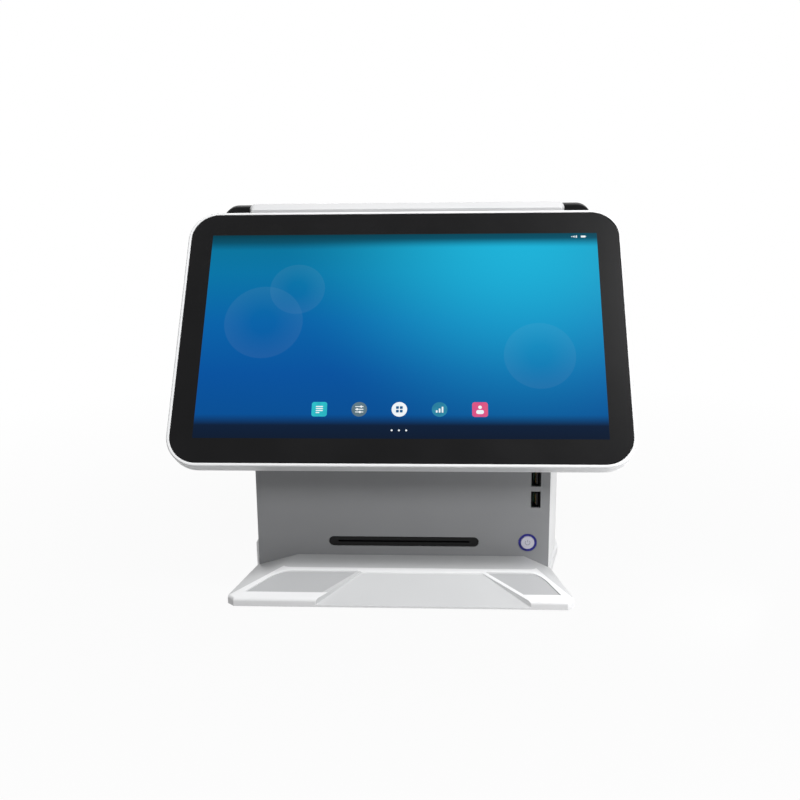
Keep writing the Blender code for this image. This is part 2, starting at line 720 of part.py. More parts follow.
def make_body_shell():
    shell = prism("body_shell", shell_plan(0.0), BODY_BOTTOM, BODY_HEIGHT, "Z", "white_plastic")
    reach = BODY_WIDTH
    combine(shell, prism("body_side_limit", shell_side(0.0), -reach, reach, "X"), "INTERSECT")
    inside = prism("body_inside", shell_plan(SHELL_WALL), 0.0, BODY_HEIGHT, "Z")
    combine(inside, prism("body_inside_limit", shell_side(SHELL_WALL), -reach, reach, "X"), "INTERSECT")
    combine(shell, inside)
    opening_x = ARM_OUTER_X + ARM_SLEEVE_GAP
    opening_low = (-opening_x, ARM_FRONT_Y - ARM_SLEEVE_GAP, BODY_FRONT_HEIGHT)
    opening_high = (opening_x, ARM_REAR_Y + ARM_SLEEVE_GAP, BODY_HEIGHT + SHELL_WALL)
    combine(shell, box("neck_opening", opening_low, opening_high))
    left, right, low, high = io_limits(IO_WINDOW_MARGIN)
    window_low = (left, SHELL_INNER_REAR_Y - SHELL_WALL, low)
    window_high = (right, SHELL_REAR_Y + SHELL_WALL, high)
    combine(shell, box("socket_window", window_low, window_high))


def make_speakers():
    plug = SLOT_LENGTH - 2 * SEAT_GAP, SLOT_HEIGHT - 2 * SEAT_GAP
    flange = SLOT_LENGTH + 2 * SLOT_FLANGE, SLOT_HEIGHT + 2 * SLOT_FLANGE
    slit = SLOT_SLIT_LENGTH, SLOT_SLIT_HEIGHT
    front_y = PANEL_Y + SEAT_GAP
    seat_y = PANEL_BACK_Y + SEAT_GAP
    back_y = seat_y + SLOT_FLANGE_THICKNESS
    sections = [(slit, front_y), (plug, front_y), (plug, seat_y)]
    sections += [(flange, seat_y), (flange, back_y), (slit, back_y)]
    centre = SLOT_X, SLOT_Z
    rings = [[(x, y, z) for x, z in stadium(*size, centre)] for size, y in sections]
    loft("slot_grille", rings, "black_plastic", closed=True)
    for side, word in ((-1, "left"), (1, "right")):
        place = SLOT_X + side * SPEAKER_SPREAD, SLOT_Z
        outline = rounded_rectangle(SPEAKER_LENGTH, SPEAKER_HEIGHT, SPEAKER_RADIUS, place)
        speaker_y = back_y + SEAT_GAP
        prism(f"{word}_speaker", outline, speaker_y, speaker_y + SPEAKER_DEPTH, "Y", "black_plastic")


def make_front_sockets():
    left, right, low, high = board_outline()
    board = rectangle(right - left, high - low, ((left + right) / 2, (low + high) / 2))
    prism("front_socket_board", board, BOARD_FRONT_Y, BOARD_FRONT_Y + BOARD_THICKNESS, "Y", "circuit_board")
    mouth_y = PANEL_Y + USB_MOUTH_SETBACK
    seat_y = BOARD_FRONT_Y - SEAT_GAP
    for word, z in usb_places():
        rings = []
        for wall, y in ((0.0, mouth_y), (0.0, seat_y), (USB_SHELL_WALL, seat_y), (USB_SHELL_WALL, mouth_y)):
            size = USB_SHELL_WIDTH - 2 * wall, USB_SHELL_HEIGHT - 2 * wall, USB_SHELL_RADIUS - wall
            outline = rounded_rectangle(*size, (USB_X, z), USB_CORNER_STEPS)
            rings.append([(a, y, b) for a, b in outline])
        loft(f"{word}_usb_shell", rings, "steel", closed=True)
        tongue = rectangle(USB_TONGUE_THICKNESS, USB_TONGUE_HEIGHT, (USB_X + USB_TONGUE_OFFSET, z))
        prism(f"{word}_usb_tongue", tongue, mouth_y + USB_TONGUE_SETBACK, seat_y, "Y", "black_plastic")


def make_power_button():
    centre = BUTTON_X, BUTTON_Z
    bore = BUTTON_RADIUS + RUNNING_GAP
    rim = bore + RING_WIDTH
    flange_y = PANEL_BACK_Y + SEAT_GAP
    ring_back_y = flange_y + RING_FLANGE_THICKNESS
    ring = [(PANEL_Y - RING_PROUD, bore), (PANEL_Y - RING_PROUD, rim), (flange_y, rim)]
    ring += [(flange_y, rim + RING_FLANGE), (ring_back_y, rim + RING_FLANGE), (ring_back_y, bore)]
    turned("button_ring", ring, "Y", centre, "lit_ring", closed=True)

    switch_back_y = BOARD_FRONT_Y - SEAT_GAP
    switch_y = switch_back_y - SWITCH_DEPTH
    nib_y = switch_y - SWITCH_NIB_HEIGHT
    outline = rectangle(SWITCH_WIDTH, SWITCH_WIDTH, centre)
    switch = prism("power_switch", outline, switch_y, switch_back_y, "Y", "black_plastic")
    nib = rod("switch_nib", SWITCH_NIB_RADIUS, nib_y, switch_y + SWITCH_DEPTH / 2, "Y", centre)
    combine(switch, nib, "UNION")

    empty = bpy.data.objects.new("power_button_axis", None)
    bpy.context.scene.collection.objects.link(empty)
    empty.location = (BUTTON_X, PANEL_Y, BUTTON_Z)
    skirt_y = ring_back_y + SEAT_GAP - PANEL_Y
    stem_y = nib_y - BUTTON_TRAVEL - SEAT_GAP - PANEL_Y
    cap = [(-BUTTON_PROUD, BUTTON_RADIUS), (skirt_y, BUTTON_RADIUS), (skirt_y, BUTTON_RADIUS + BUTTON_SKIRT)]
    cap += [(skirt_y + BUTTON_SKIRT_THICKNESS, BUTTON_RADIUS + BUTTON_SKIRT)]
    cap += [(skirt_y + BUTTON_SKIRT_THICKNESS, BUTTON_STEM_RADIUS), (stem_y, BUTTON_STEM_RADIUS)]
    turned("power_button", cap, "Y", (0.0, 0.0), "button_grey", empty)


def make_mainboard():
    half = MAINBOARD_WIDTH / 2
    low = (-half, MAINBOARD_FRONT_Y, MAINBOARD_BOTTOM)
    box("mainboard", low, (half, MAINBOARD_REAR_Y, MAINBOARD_TOP), "circuit_board")
    bottom = MAINBOARD_TOP + SEAT_GAP
    pitch = (SINK_WIDTH - SINK_FIN_THICKNESS) / (SINK_FINS - 1)
    comb = [(-SINK_WIDTH / 2, bottom), (SINK_WIDTH / 2, bottom)]
    for number in reversed(range(SINK_FINS)):
        fin_x = -SINK_WIDTH / 2 + number * pitch
        comb += [(fin_x + SINK_FIN_THICKNESS, bottom + SINK_HEIGHT), (fin_x, bottom + SINK_HEIGHT)]
        if number:
            comb += [(fin_x, bottom + SINK_BASE), (fin_x - pitch + SINK_FIN_THICKNESS, bottom + SINK_BASE)]
    start = (MAINBOARD_FRONT_Y + SOCKET_REAR_Y - SOCKET_DEPTH - SINK_DEPTH) / 2
    prism("heat_sink", comb, start, start + SINK_DEPTH, "Y", "aluminium")


def plug_sockets():
    """Name, X, width and mouth size of the two rear sockets for flat plugs."""
    yield "network_socket", NETWORK_X, NETWORK_WIDTH, (NETWORK_MOUTH_WIDTH, NETWORK_MOUTH_HEIGHT)
    yield "drawer_socket", DRAWER_X, DRAWER_WIDTH, (DRAWER_MOUTH_WIDTH, DRAWER_MOUTH_HEIGHT)


def io_limits(margin):
    """X and Z limits round the rear sockets."""
    left = NETWORK_X - NETWORK_WIDTH / 2 - margin
    right = POWER_X + POWER_WIDTH / 2 + margin
    return left, right, SOCKET_BOTTOM - SOCKET_GAP, SOCKET_BOTTOM + SOCKET_HEIGHT + margin


def make_rear_sockets():
    front_y = SOCKET_REAR_Y - SOCKET_DEPTH
    floor_y = front_y + SOCKET_FLOOR
    middle_z = SOCKET_BOTTOM + SOCKET_HEIGHT / 2
    beyond_y = SOCKET_REAR_Y + SOCKET_FLOOR
    plate_back = SHELL_INNER_REAR_Y - SEAT_GAP
    left, right, _, high = io_limits(IO_MARGIN_X)
    plate_low = (left, plate_back - IO_PLATE_THICKNESS, BODY_BOTTOM + SEAT_GAP)
    plate = box("rear_socket_plate", plate_low, (right, plate_back, high + IO_PLATE_MARGIN), "steel")

    def socket_block(name, x, width):
        """A solid socket in its hole through the plate."""
        hole = rectangle(width + 2 * SOCKET_GAP, SOCKET_HEIGHT + 2 * SOCKET_GAP, (x, middle_z))
        combine(plate, prism(name + "_hole", hole, front_y, beyond_y, "Y"))
        outline = rectangle(width, SOCKET_HEIGHT, (x, middle_z))
        return prism(name, outline, front_y, SOCKET_REAR_Y, "Y", "black_plastic")

    for name, x, width, mouth_size in plug_sockets():
        mouth = rectangle(*mouth_size, (x, middle_z))
        combine(socket_block(name, x, width), prism(name + "_mouth", mouth, floor_y, beyond_y, "Y"))
    inlet = socket_block("power_inlet", POWER_X, POWER_WIDTH)
    centre = POWER_X, middle_z
    combine(inlet, rod("power_mouth", POWER_MOUTH_RADIUS, floor_y, beyond_y, "Y", centre))
    pin_limits = floor_y - SOCKET_FLOOR / 2, SOCKET_REAR_Y - POWER_PIN_SETBACK
    combine(inlet, rod("power_pin", POWER_PIN_RADIUS, *pin_limits, "Y", centre), "UNION")


def axes():
    """The two hinge axes, as points in the YZ plane."""
    return (MAIN_AXIS_Y, MAIN_AXIS_Z), (CUSTOMER_AXIS_Y, CUSTOMER_AXIS_Z)


def neck_outline(radius, front_y, rear_y, bottom):
    points = [(front_y, bottom), (rear_y, bottom)]
    for centre in axes():
        points += circle(radius, centre, EYE_STEPS)
    return wrap(points)


def arm_outline():
    """A leg that widens above the pedestal's top into the two hinge eyes."""
    top = BODY_HEIGHT
    head = neck_outline(EYE_RADIUS, ARM_FRONT_Y, ARM_REAR_Y, top)
    start = head.index((ARM_REAR_Y, top))
    head = head[start:] + head[:start]
    return head + [(ARM_FRONT_Y, PLATE_TOP + SEAT_GAP), (ARM_REAR_Y, PLATE_TOP + SEAT_GAP)]


def make_hinge_arms():
    bottom = PLATE_TOP + SEAT_GAP
    for side, word in ((-1, "left"), (1, "right")):
        limits = sorted((side * ARM_SPREAD, side * ARM_OUTER_X))
        arm = prism(f"{word}_hinge_arm", arm_outline(), *limits, "X", "steel")
        foot_limits = sorted((side * (ARM_SPREAD + ARM_THICKNESS / 2), side * (ARM_OUTER_X + ARM_FOOT_WIDTH)))
        foot_low = (foot_limits[0], ARM_FRONT_Y, bottom)
        foot_high = (foot_limits[1], ARM_REAR_Y, bottom + ARM_FOOT_THICKNESS)
        combine(arm, box(f"{word}_arm_foot", foot_low, foot_high), "UNION")
        reach = sorted((0.0, side * NECK_OUTER_X))
        for axis_word, centre in zip(("main", "customer"), axes()):
            combine(arm, rod(f"{word}_{axis_word}_eye", SHAFT_BORE, *reach, "X", centre))


def make_neck_cover():
    bottom = BODY_HEIGHT + SEAT_GAP
    outer = neck_outline(NECK_RADIUS, NECK_FRONT_Y, NECK_REAR_Y, bottom)
    cover = prism("neck_cover", outer, -NECK_OUTER_X, NECK_OUTER_X, "X", "white_plastic")
    wall = NECK_WALL
    inner = neck_outline(NECK_RADIUS - wall, NECK_FRONT_Y + wall, NECK_REAR_Y - wall, bottom - wall)
    combine(cover, prism("neck_inside", inner, -NECK_INNER_X, NECK_INNER_X, "X"))
    for word, centre in zip(("main", "customer"), axes()):
        combine(cover, rod(f"{word}_neck_hole", SHAFT_BORE, -SHAFT_END_X, SHAFT_END_X, "X", centre))


def make_shafts():
    for word, centre in zip(("main", "customer"), axes()):
        rod(f"{word}_hinge_shaft", SHAFT_RADIUS, -SHAFT_END_X, SHAFT_END_X, "X", centre, "steel")
        for side, side_word in ((-1, "left"), (1, "right")):
            near, far = side * WASHER_X, side * (WASHER_X + WASHER_THICKNESS)
            washer = [(near, SHAFT_BORE), (near, WASHER_RADIUS), (far, WASHER_RADIUS), (far, SHAFT_BORE)]
            turned(f"{word}_{side_word}_washer", washer, "X", centre, "steel", closed=True)
            near, far = side * NUT_X, side * (NUT_X + NUT_THICKNESS)
            outer, inner = hexagon(NUT_ACROSS_FLATS, centre), circle(SHAFT_BORE, centre)
            nut = [(near, inner), (near, outer), (far, outer), (far, inner)]
            rings = [[(x, a, b) for a, b in outline] for x, outline in nut]
            loft(f"{word}_{side_word}_nut", rings, "steel", closed=True)


def make_knuckles(word, facing, empty):
    """Brackets from a display's cover to its shaft. The cover lies at facing times the standoff along Y."""
    base_y = facing * (STANDOFF - SEAT_GAP)
    half = KNUCKLE_LENGTH / 2
    pivot = 0.0, 0.0
    outline = wrap([(base_y, -half), (base_y, half)] + circle(EYE_RADIUS, pivot, EYE_STEPS))
    flange_y = sorted((base_y, base_y - facing * KNUCKLE_FLANGE_THICKNESS))
    near, far = KNUCKLE_X, KNUCKLE_X + KNUCKLE_THICKNESS
    for side, side_word in ((-1, "left"), (1, "right")):
        name = f"{word}_{side_word}_knuckle"
        knuckle = prism(name, outline, *sorted((side * near, side * far)), "X", "steel", empty)
        flange_x = sorted((side * (near + KNUCKLE_THICKNESS / 2), side * (far + KNUCKLE_FLANGE)))
        flange_low = (flange_x[0], flange_y[0], -half)
        flange_high = (flange_x[1], flange_y[1], half)
        combine(knuckle, box(name + "_flange", flange_low, flange_high, parent=empty), "UNION")
        reach = sorted((0.0, side * SHAFT_END_X))
        combine(knuckle, rod(name + "_eye", SHAFT_BORE, *reach, "X", pivot, parent=empty))


def make_main_display():
    empty = axis_empty("main_hinge_axis", MAIN_AXIS_Y, MAIN_AXIS_Z, -DISPLAY_TILT)
    centre = 0.0, HINGE_BELOW_CENTRE

    def ring(width, tall, radius, depth):
        """A rounded rectangle at a depth behind the glass's front face."""
        return [(x, depth - HINGE_BEHIND_GLASS, z) for x, z in rounded_rectangle(width, tall, radius, centre)]

    def slab(name, width, tall, front, thickness, finish):
        outline = rectangle(width, tall, centre)
        start = front - HINGE_BEHIND_GLASS
        return prism(name, outline, start, start + thickness, "Y", finish, empty)

    glass = GLASS_WIDTH, GLASS_TALL, GLASS_RADIUS
    loft("touch_glass", [ring(*glass, 0.0), ring(*glass, GLASS_THICKNESS)], "black_glass", empty)

    ledge = GLASS_THICKNESS + SEAT_GAP
    casing = GLASS_WIDTH + 2 * RIM_WIDTH, GLASS_TALL + 2 * RIM_WIDTH, GLASS_RADIUS + RIM_WIDTH
    pocket = GLASS_WIDTH + 2 * SEAT_GAP, GLASS_TALL + 2 * SEAT_GAP, GLASS_RADIUS + SEAT_GAP
    window = LCD_WIDTH + 2 * SEAT_GAP, LCD_TALL + 2 * SEAT_GAP, SEAT_GAP
    frame = [ring(*casing, 0.0), ring(*casing, FRAME_DEPTH), ring(*window, FRAME_DEPTH)]
    frame += [ring(*window, ledge), ring(*pocket, ledge), ring(*pocket, 0.0)]
    loft("display_frame", frame, "white_plastic", empty, closed=True)

    slab("lcd_panel", LCD_WIDTH, LCD_TALL, ledge, LCD_DEPTH, "black_plastic")
    chassis_front = ledge + LCD_DEPTH + SEAT_GAP
    chassis_size = LCD_WIDTH - 2 * CHASSIS_MARGIN, LCD_TALL - 2 * CHASSIS_MARGIN
    slab("display_chassis", *chassis_size, chassis_front, CHASSIS_THICKNESS, "steel")
    driver_front = chassis_front + CHASSIS_THICKNESS + SEAT_GAP
    slab("driver_board", DRIVER_WIDTH, DRIVER_TALL, driver_front, BOARD_THICKNESS, "circuit_board")

    def casing_ring(depth, inset):
        return ring(casing[0] - 2 * inset, casing[1] - 2 * inset, casing[2] - inset, depth)

    def hump_ring(depth, inset):
        return ring(HUMP_WIDTH - 2 * inset, HUMP_TALL - 2 * inset, HUMP_RADIUS - inset, depth)

    mouth = FRAME_DEPTH + SEAT_GAP
    shoulder = CASING_DEPTH - CASING_EDGE
    wall = CASING_WALL
    back = [hump_ring(HUMP_DEPTH - wall, HUMP_DRAFT + wall), hump_ring(CASING_DEPTH - wall, wall)]
    back += [casing_ring(CASING_DEPTH - wall, CASING_EDGE + wall), casing_ring(shoulder, wall)]
    back += [casing_ring(mouth, wall), casing_ring(mouth, 0.0)]
    back += [casing_ring(shoulder, 0.0), casing_ring(CASING_DEPTH, CASING_EDGE)]
    back += [hump_ring(CASING_DEPTH, 0.0), hump_ring(HUMP_DEPTH, HUMP_DRAFT)]
    loft("display_back_cover", back, "white_plastic", empty)
    make_knuckles("main", -1, empty)


def make_customer_display():
    empty = axis_empty("customer_hinge_axis", CUSTOMER_AXIS_Y, CUSTOMER_AXIS_Z, CUSTOMER_TILT)
    centre = 0.0, CUSTOMER_CENTRE_RISE

    def ring(inset, y):
        size = CUSTOMER_WIDTH - 2 * inset, CUSTOMER_TALL - 2 * inset, CUSTOMER_RADIUS - inset
        return [(x, y, z) for x, z in rounded_rectangle(*size, centre)]

    floor_y = CUSTOMER_FRAME_Y + CUSTOMER_FLOOR
    back_y = CUSTOMER_FRAME_Y + CUSTOMER_FRAME_DEPTH
    wall = CUSTOMER_FRAME_WALL
    frame = [ring(wall, floor_y), ring(wall, back_y), ring(0.0, back_y), ring(0.0, CUSTOMER_FRAME_Y)]
    loft("customer_frame", frame, "black_plastic", empty)
    glass_inset = wall + SEAT_GAP
    glass_y = back_y - CUSTOMER_GLASS_THICKNESS
    loft("customer_glass", [ring(glass_inset, glass_y), ring(glass_inset, back_y)], "black_glass", empty)
    lcd_inset = glass_inset + CUSTOMER_LCD_MARGIN
    lcd = [ring(lcd_inset, floor_y + SEAT_GAP), ring(lcd_inset, glass_y - SEAT_GAP)]
    loft("customer_lcd", lcd, "black_plastic", empty)

    def cover_ring(inset, y):
        tall = CUSTOMER_COVER_TOP - CUSTOMER_COVER_BOTTOM
        middle = 0.0, (CUSTOMER_COVER_TOP + CUSTOMER_COVER_BOTTOM) / 2
        size = CUSTOMER_COVER_WIDTH - 2 * inset, tall - 2 * inset, CUSTOMER_COVER_RADIUS - inset
        return [(x, y, z) for x, z in rounded_rectangle(*size, middle)]

    mouth_y = STANDOFF + CUSTOMER_COVER_DEPTH
    rings = [cover_ring(CUSTOMER_COVER_DRAFT + wall / 2, STANDOFF + wall), cover_ring(wall, mouth_y)]
    rings += [cover_ring(0.0, mouth_y), cover_ring(CUSTOMER_COVER_DRAFT, STANDOFF)]
    loft("customer_back_cover", rings, "cover_grey", empty)
    make_knuckles("customer", 1, empty)


def main():
    clear_scene()
    make_base_shell()
    make_tray_panels()
    make_base_plate()
    make_feet_and_screws()
    make_front_panel()
    make_body_shell()
    make_speakers()
    make_front_sockets()
    make_power_button()
    make_mainboard()
    make_rear_sockets()
    make_hinge_arms()
    make_neck_cover()
    make_shafts()
    make_main_display()
    make_customer_display()


main()
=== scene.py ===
"""Looks of a countertop point-of-sale terminal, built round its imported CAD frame.

Metres, +Z up, in the frame's own axes: the operator stands at -Y and the customer at +Y.
"""

import logging
import math
from collections.abc import Iterable, Sequence
from dataclasses import dataclass
from enum import Enum
from functools import cache
from typing import Any

import bmesh
import bpy
from bmesh.types import BMEdge, BMesh, BMFace
from bpy.types import ID, Material, Node, NodeSocket, NodeTree, Object
from mathutils import Euler, Matrix, Vector


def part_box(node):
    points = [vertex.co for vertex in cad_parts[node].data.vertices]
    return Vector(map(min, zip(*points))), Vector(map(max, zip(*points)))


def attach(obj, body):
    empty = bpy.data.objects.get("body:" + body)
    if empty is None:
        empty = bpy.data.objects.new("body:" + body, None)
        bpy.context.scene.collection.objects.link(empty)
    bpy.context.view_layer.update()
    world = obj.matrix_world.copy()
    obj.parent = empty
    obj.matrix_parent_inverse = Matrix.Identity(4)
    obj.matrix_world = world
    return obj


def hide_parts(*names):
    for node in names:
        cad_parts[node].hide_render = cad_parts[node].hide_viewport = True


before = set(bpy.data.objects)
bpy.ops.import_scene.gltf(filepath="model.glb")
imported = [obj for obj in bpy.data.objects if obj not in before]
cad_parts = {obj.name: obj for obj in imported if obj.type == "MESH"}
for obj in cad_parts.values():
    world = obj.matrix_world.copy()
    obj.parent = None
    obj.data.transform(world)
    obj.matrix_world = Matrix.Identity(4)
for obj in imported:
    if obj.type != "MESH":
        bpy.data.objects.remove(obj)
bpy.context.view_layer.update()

LOG = logging.getLogger("terminal")
MM = 0.001
SHARP = math.radians(34)
ROUND = {"offset_type": "OFFSET", "profile": 0.5, "material": -1}
Steps = Sequence[tuple[float, float]]
Stops = Sequence[tuple[float, str]]
Inputs = dict[Any, Any]


class Body(Enum):
    """The bodies of the terminal that move on their own."""

    STAND = "stand"
    MAIN = "main_display"
    CUSTOMER = "customer_display"
    BUTTON = "button"


class Glyph(Enum):
    """Plain signs on the screen's tiles."""

    RECEIPT = "receipt"
    SLIDERS = "sliders"
    SQUARES = "squares"
    BARS = "bars"
    PERSON = "person"


# Materials


def linear(code: str) -> tuple[float, float, float, float]:
    """Turn an sRGB hex colour into linear light.

    Args:
        code: A colour such as "#D0D0D2".

    Returns:
        Red, green, blue and an alpha of 1.
    """
    parts = [int(code[i : i + 2], 16) / 255 for i in (1, 3, 5)]
    red, green, blue = (c / 12.92 if c <= 0.04045 else ((c + 0.055) / 1.055) ** 2.4 for c in parts)
    return red, green, blue, 1.0


def feed(tree: NodeTree, node: Node, inputs: Inputs) -> None:
    """Set or link a node's inputs.

    Args:
        tree: The node tree.
        node: The node.
        inputs: Values or sockets, by the input's name, or by its number where names repeat.
    """
    for key, value in inputs.items():
        if isinstance(value, NodeSocket):
            tree.links.new(value, node.inputs[key])
        else:
            node.inputs[key].default_value = value


def add(tree: NodeTree, kind: str, inputs: Inputs, stops: Stops = (), **settings: Any) -> Node:
    """Add one shader node.

    Args:
        tree: The node tree it goes into.
        kind: The node's type without its ShaderNode prefix.
        inputs: What its inputs get.
        stops: Place and sRGB colour of each stop, where it has a colour ramp.
        settings: The node's own properties.

    Returns:
        The new node.
    """
    node = tree.nodes.new("ShaderNode" + kind)
    for key, value in settings.items():
        setattr(node, key, value)
    elements = node.color_ramp.elements if stops else ()
    while len(elements) < len(stops):
        elements.new(1.0)
    for element, (place, code) in zip(elements, stops):
        element.position = place
        element.color = linear(code)
    feed(tree, node, inputs)
    return node


def blank(name: str) -> tuple[Material, NodeTree, Node, NodeSocket]:
    """Start a material.

    Args:
        name: Its name.

    Returns:
        The material, its tree, its Principled shader and its Object coordinates.
    """
    material = bpy.data.materials.new(name)
    material.use_nodes = True
    tree = material.node_tree
    where = add(tree, "TexCoord", {}).outputs["Object"]
    return material, tree, tree.nodes["Principled BSDF"], where


@dataclass(frozen=True)
class Finish:
    """A named material in one of the part's slots."""

    name: str
    slot: str

    @cache
    def material(self) -> Material:
        """Build the material."""
        material, tree, shader, where = blank(self.name)
        feed(tree, shader, self.inputs(tree, where))
        return material

    def inputs(self, tree: NodeTree, where: NodeSocket) -> Inputs:
        """What the Principled shader gets.

        Args:
            tree: The material's tree.
            where: Its Object coordinates.

        Returns:
            Values or sockets, by the input's name.
        """
        raise NotImplementedError


@dataclass(frozen=True)
class Plastic(Finish):
    """Moulded plastic or rubber: a faintly mottled colour under a spark-eroded grain that dulls the gloss."""

    colour: str
    mottle: str
    roughness: float
    grain_mm: float = 0.55
    relief_mm: float = 0.012
    ior: float = 1.5
    cloud_mm: float = 45.0
    spread: float = 0.06

    def inputs(self, tree: NodeTree, where: NodeSocket) -> Inputs:
        """What the Principled shader gets."""
        # The grain is drawn about as coarse as a pixel of the render, since the real one is finer.
        fine = {"Vector": where, "Scale": 1 / (self.grain_mm * MM), "Detail": 3.0}
        grain = add(tree, "TexNoise", fine).outputs[0]
        coarse = {"Vector": where, "Scale": 1 / (self.cloud_mm * MM), "Detail": 2.0}
        cloud = add(tree, "TexNoise", coarse).outputs[0]
        tint = {0: cloud, 6: linear(self.colour), 7: linear(self.mottle)}
        low, high = self.roughness - self.spread, self.roughness + self.spread
        gloss = {"Value": grain, 1: 0.3, 2: 0.7, 3: low, 4: high}
        relief = {"Height": grain, "Strength": 0.5, "Distance": self.relief_mm * MM}
        return {
            "Base Color": add(tree, "Mix", tint, data_type="RGBA").outputs[2],
            "Roughness": add(tree, "MapRange", gloss).outputs[0],
            "Normal": add(tree, "Bump", relief).outputs[0],
            "IOR": self.ior,
        }


@dataclass(frozen=True)
class Metal(Finish):
    """Rolled, turned or plated metal: fine streaks along one axis that vary its gloss and shade."""

    colour: str
    streak: str
    roughness: float
    stretch: tuple[float, float, float] = (0.04, 1.0, 1.0)
    streak_mm: float = 0.5
    relief_mm: float = 0.01

    def inputs(self, tree: NodeTree, where: NodeSocket) -> Inputs:
        """What the Principled shader gets."""
        drawn = add(tree, "Mapping", {"Vector": where, "Scale": self.stretch}).outputs[0]
        fine = {"Vector": drawn, "Scale": 1 / (self.streak_mm * MM), "Detail": 4.0}
        lines = add(tree, "TexNoise", fine).outputs[0]
        tint = {0: lines, 6: linear(self.colour), 7: linear(self.streak)}
        gloss = {"Value": lines, 1: 0.3, 2: 0.7, 3: self.roughness - 0.08, 4: self.roughness + 0.1}
        relief = {"Height": lines, "Strength": 0.3, "Distance": self.relief_mm * MM}
        return {
            "Base Color": add(tree, "Mix", tint, data_type="RGBA").outputs[2],
            "Roughness": add(tree, "MapRange", gloss).outputs[0],
            "Normal": add(tree, "Bump", relief).outputs[0],
            "Metallic": 1.0,
        }


@dataclass(frozen=True)
class Spangled(Finish):
    """Hot-dip galvanised sheet: zinc crystals of slightly different grey, each with its own gloss."""

    colours: tuple[str, str]
    crystal_mm: float = 7.0
    frost_mm: float = 0.6
    relief_mm: float = 0.02

    def inputs(self, tree: NodeTree, where: NodeSocket) -> Inputs:
        """What the Principled shader gets."""
        cells = add(tree, "TexVoronoi", {"Vector": where, "Scale": 1 / (self.crystal_mm * MM)})
        shade = add(tree, "SeparateColor", {"Color": cells.outputs["Color"]}).outputs[0]
        fine = {"Vector": where, "Scale": 1 / (self.frost_mm * MM), "Detail": 3.0}
        frost = add(tree, "TexNoise", fine).outputs[0]
        relief = {"Height": frost, "Strength": 0.3, "Distance": self.relief_mm * MM}
        return {
            "Base Color": add(tree, "ValToRGB", {"Fac": shade}, [*zip((0.0, 1.0), self.colours)]).outputs[0],
            "Roughness": add(tree, "MapRange", {"Value": shade, 3: 0.34, 4: 0.52}).outputs[0],
            "Normal": add(tree, "Bump", relief).outputs[0],
            "Metallic": 1.0,
        }


@dataclass(frozen=True)
class Board(Finish):
    """Circuit board: green solder mask over copper tracks, which show as paler raised lines."""

    mask: str
    track: str
    pitch_mm: float = 2.5
    relief_mm: float = 0.03

    def inputs(self, tree: NodeTree, where: NodeSocket) -> Inputs:
        """What the Principled shader gets."""
        cells = {"Vector": where, "Scale": 1 / (self.pitch_mm * MM)}
        edges = add(tree, "TexVoronoi", cells, feature="DISTANCE_TO_EDGE", distance="CHEBYCHEV")
        near = {"Value": edges.outputs["Distance"], 1: 0.04, 2: 0.09, 3: 1.0, 4: 0.0}
        lines = add(tree, "MapRange", near).outputs[0]
        tint = {0: lines, 6: linear(self.mask), 7: linear(self.track)}
        relief = {"Height": lines, "Strength": 0.4, "Distance": self.relief_mm * MM}
        return {
            "Base Color": add(tree, "Mix", tint, data_type="RGBA").outputs[2],
            "Roughness": 0.38,
            "Normal": add(tree, "Bump", relief).outputs[0],
        }


@dataclass(frozen=True)
class Glass(Finish):
    """Etched cover glass printed black from behind: deep black, with a dim, slightly spread reflection."""

    inks: tuple[str, str]
    roughness: float
    specular: float
    haze_mm: float = 60.0
    spread: float = 0.03

    def inputs(self, tree: NodeTree, where: NodeSocket) -> Inputs:
        """What the Principled shader gets."""
        coarse = {"Vector": where, "Scale": 1 / (self.haze_mm * MM), "Detail": 3.0}
        haze = add(tree, "TexNoise", coarse).outputs[0]
        gloss = {"Value": haze, 3: self.roughness - self.spread, 4: self.roughness + self.spread}
        return {
            "Base Color": add(tree, "ValToRGB", {"Fac": haze}, [*zip((0.3, 0.7), self.inks)]).outputs[0],
            "Roughness": add(tree, "MapRange", gloss).outputs[0],
            "Specular IOR Level": self.specular,
        }


@dataclass(frozen=True)
class Lit(Finish):
    """A lit colour under the same etched glass, or a lit light guide: an even glow with a faint fall-off."""

    glow: str
    edge: str
    strength: float = 1.0
    roughness: float = 0.3
    specular: float = 0.1
    unlit: str = "#101012"
    cloud_mm: float = 5.0

    def inputs(self, tree: NodeTree, where: NodeSocket) -> Inputs:
        """What the Principled shader gets."""
        coarse = {"Vector": where, "Scale": 1 / (self.cloud_mm * MM), "Detail": 1.0}
        cloud = add(tree, "TexNoise", coarse).outputs[0]
        tint = add(tree, "ValToRGB", {"Fac": cloud}, [(0.35, self.glow), (0.65, self.edge)])
        return {
            "Base Color": linear(self.unlit),
            "Emission Color": tint.outputs[0],
            "Emission Strength": self.strength,
            "Roughness": self.roughness,
            "Specular IOR Level": self.specular,
        }


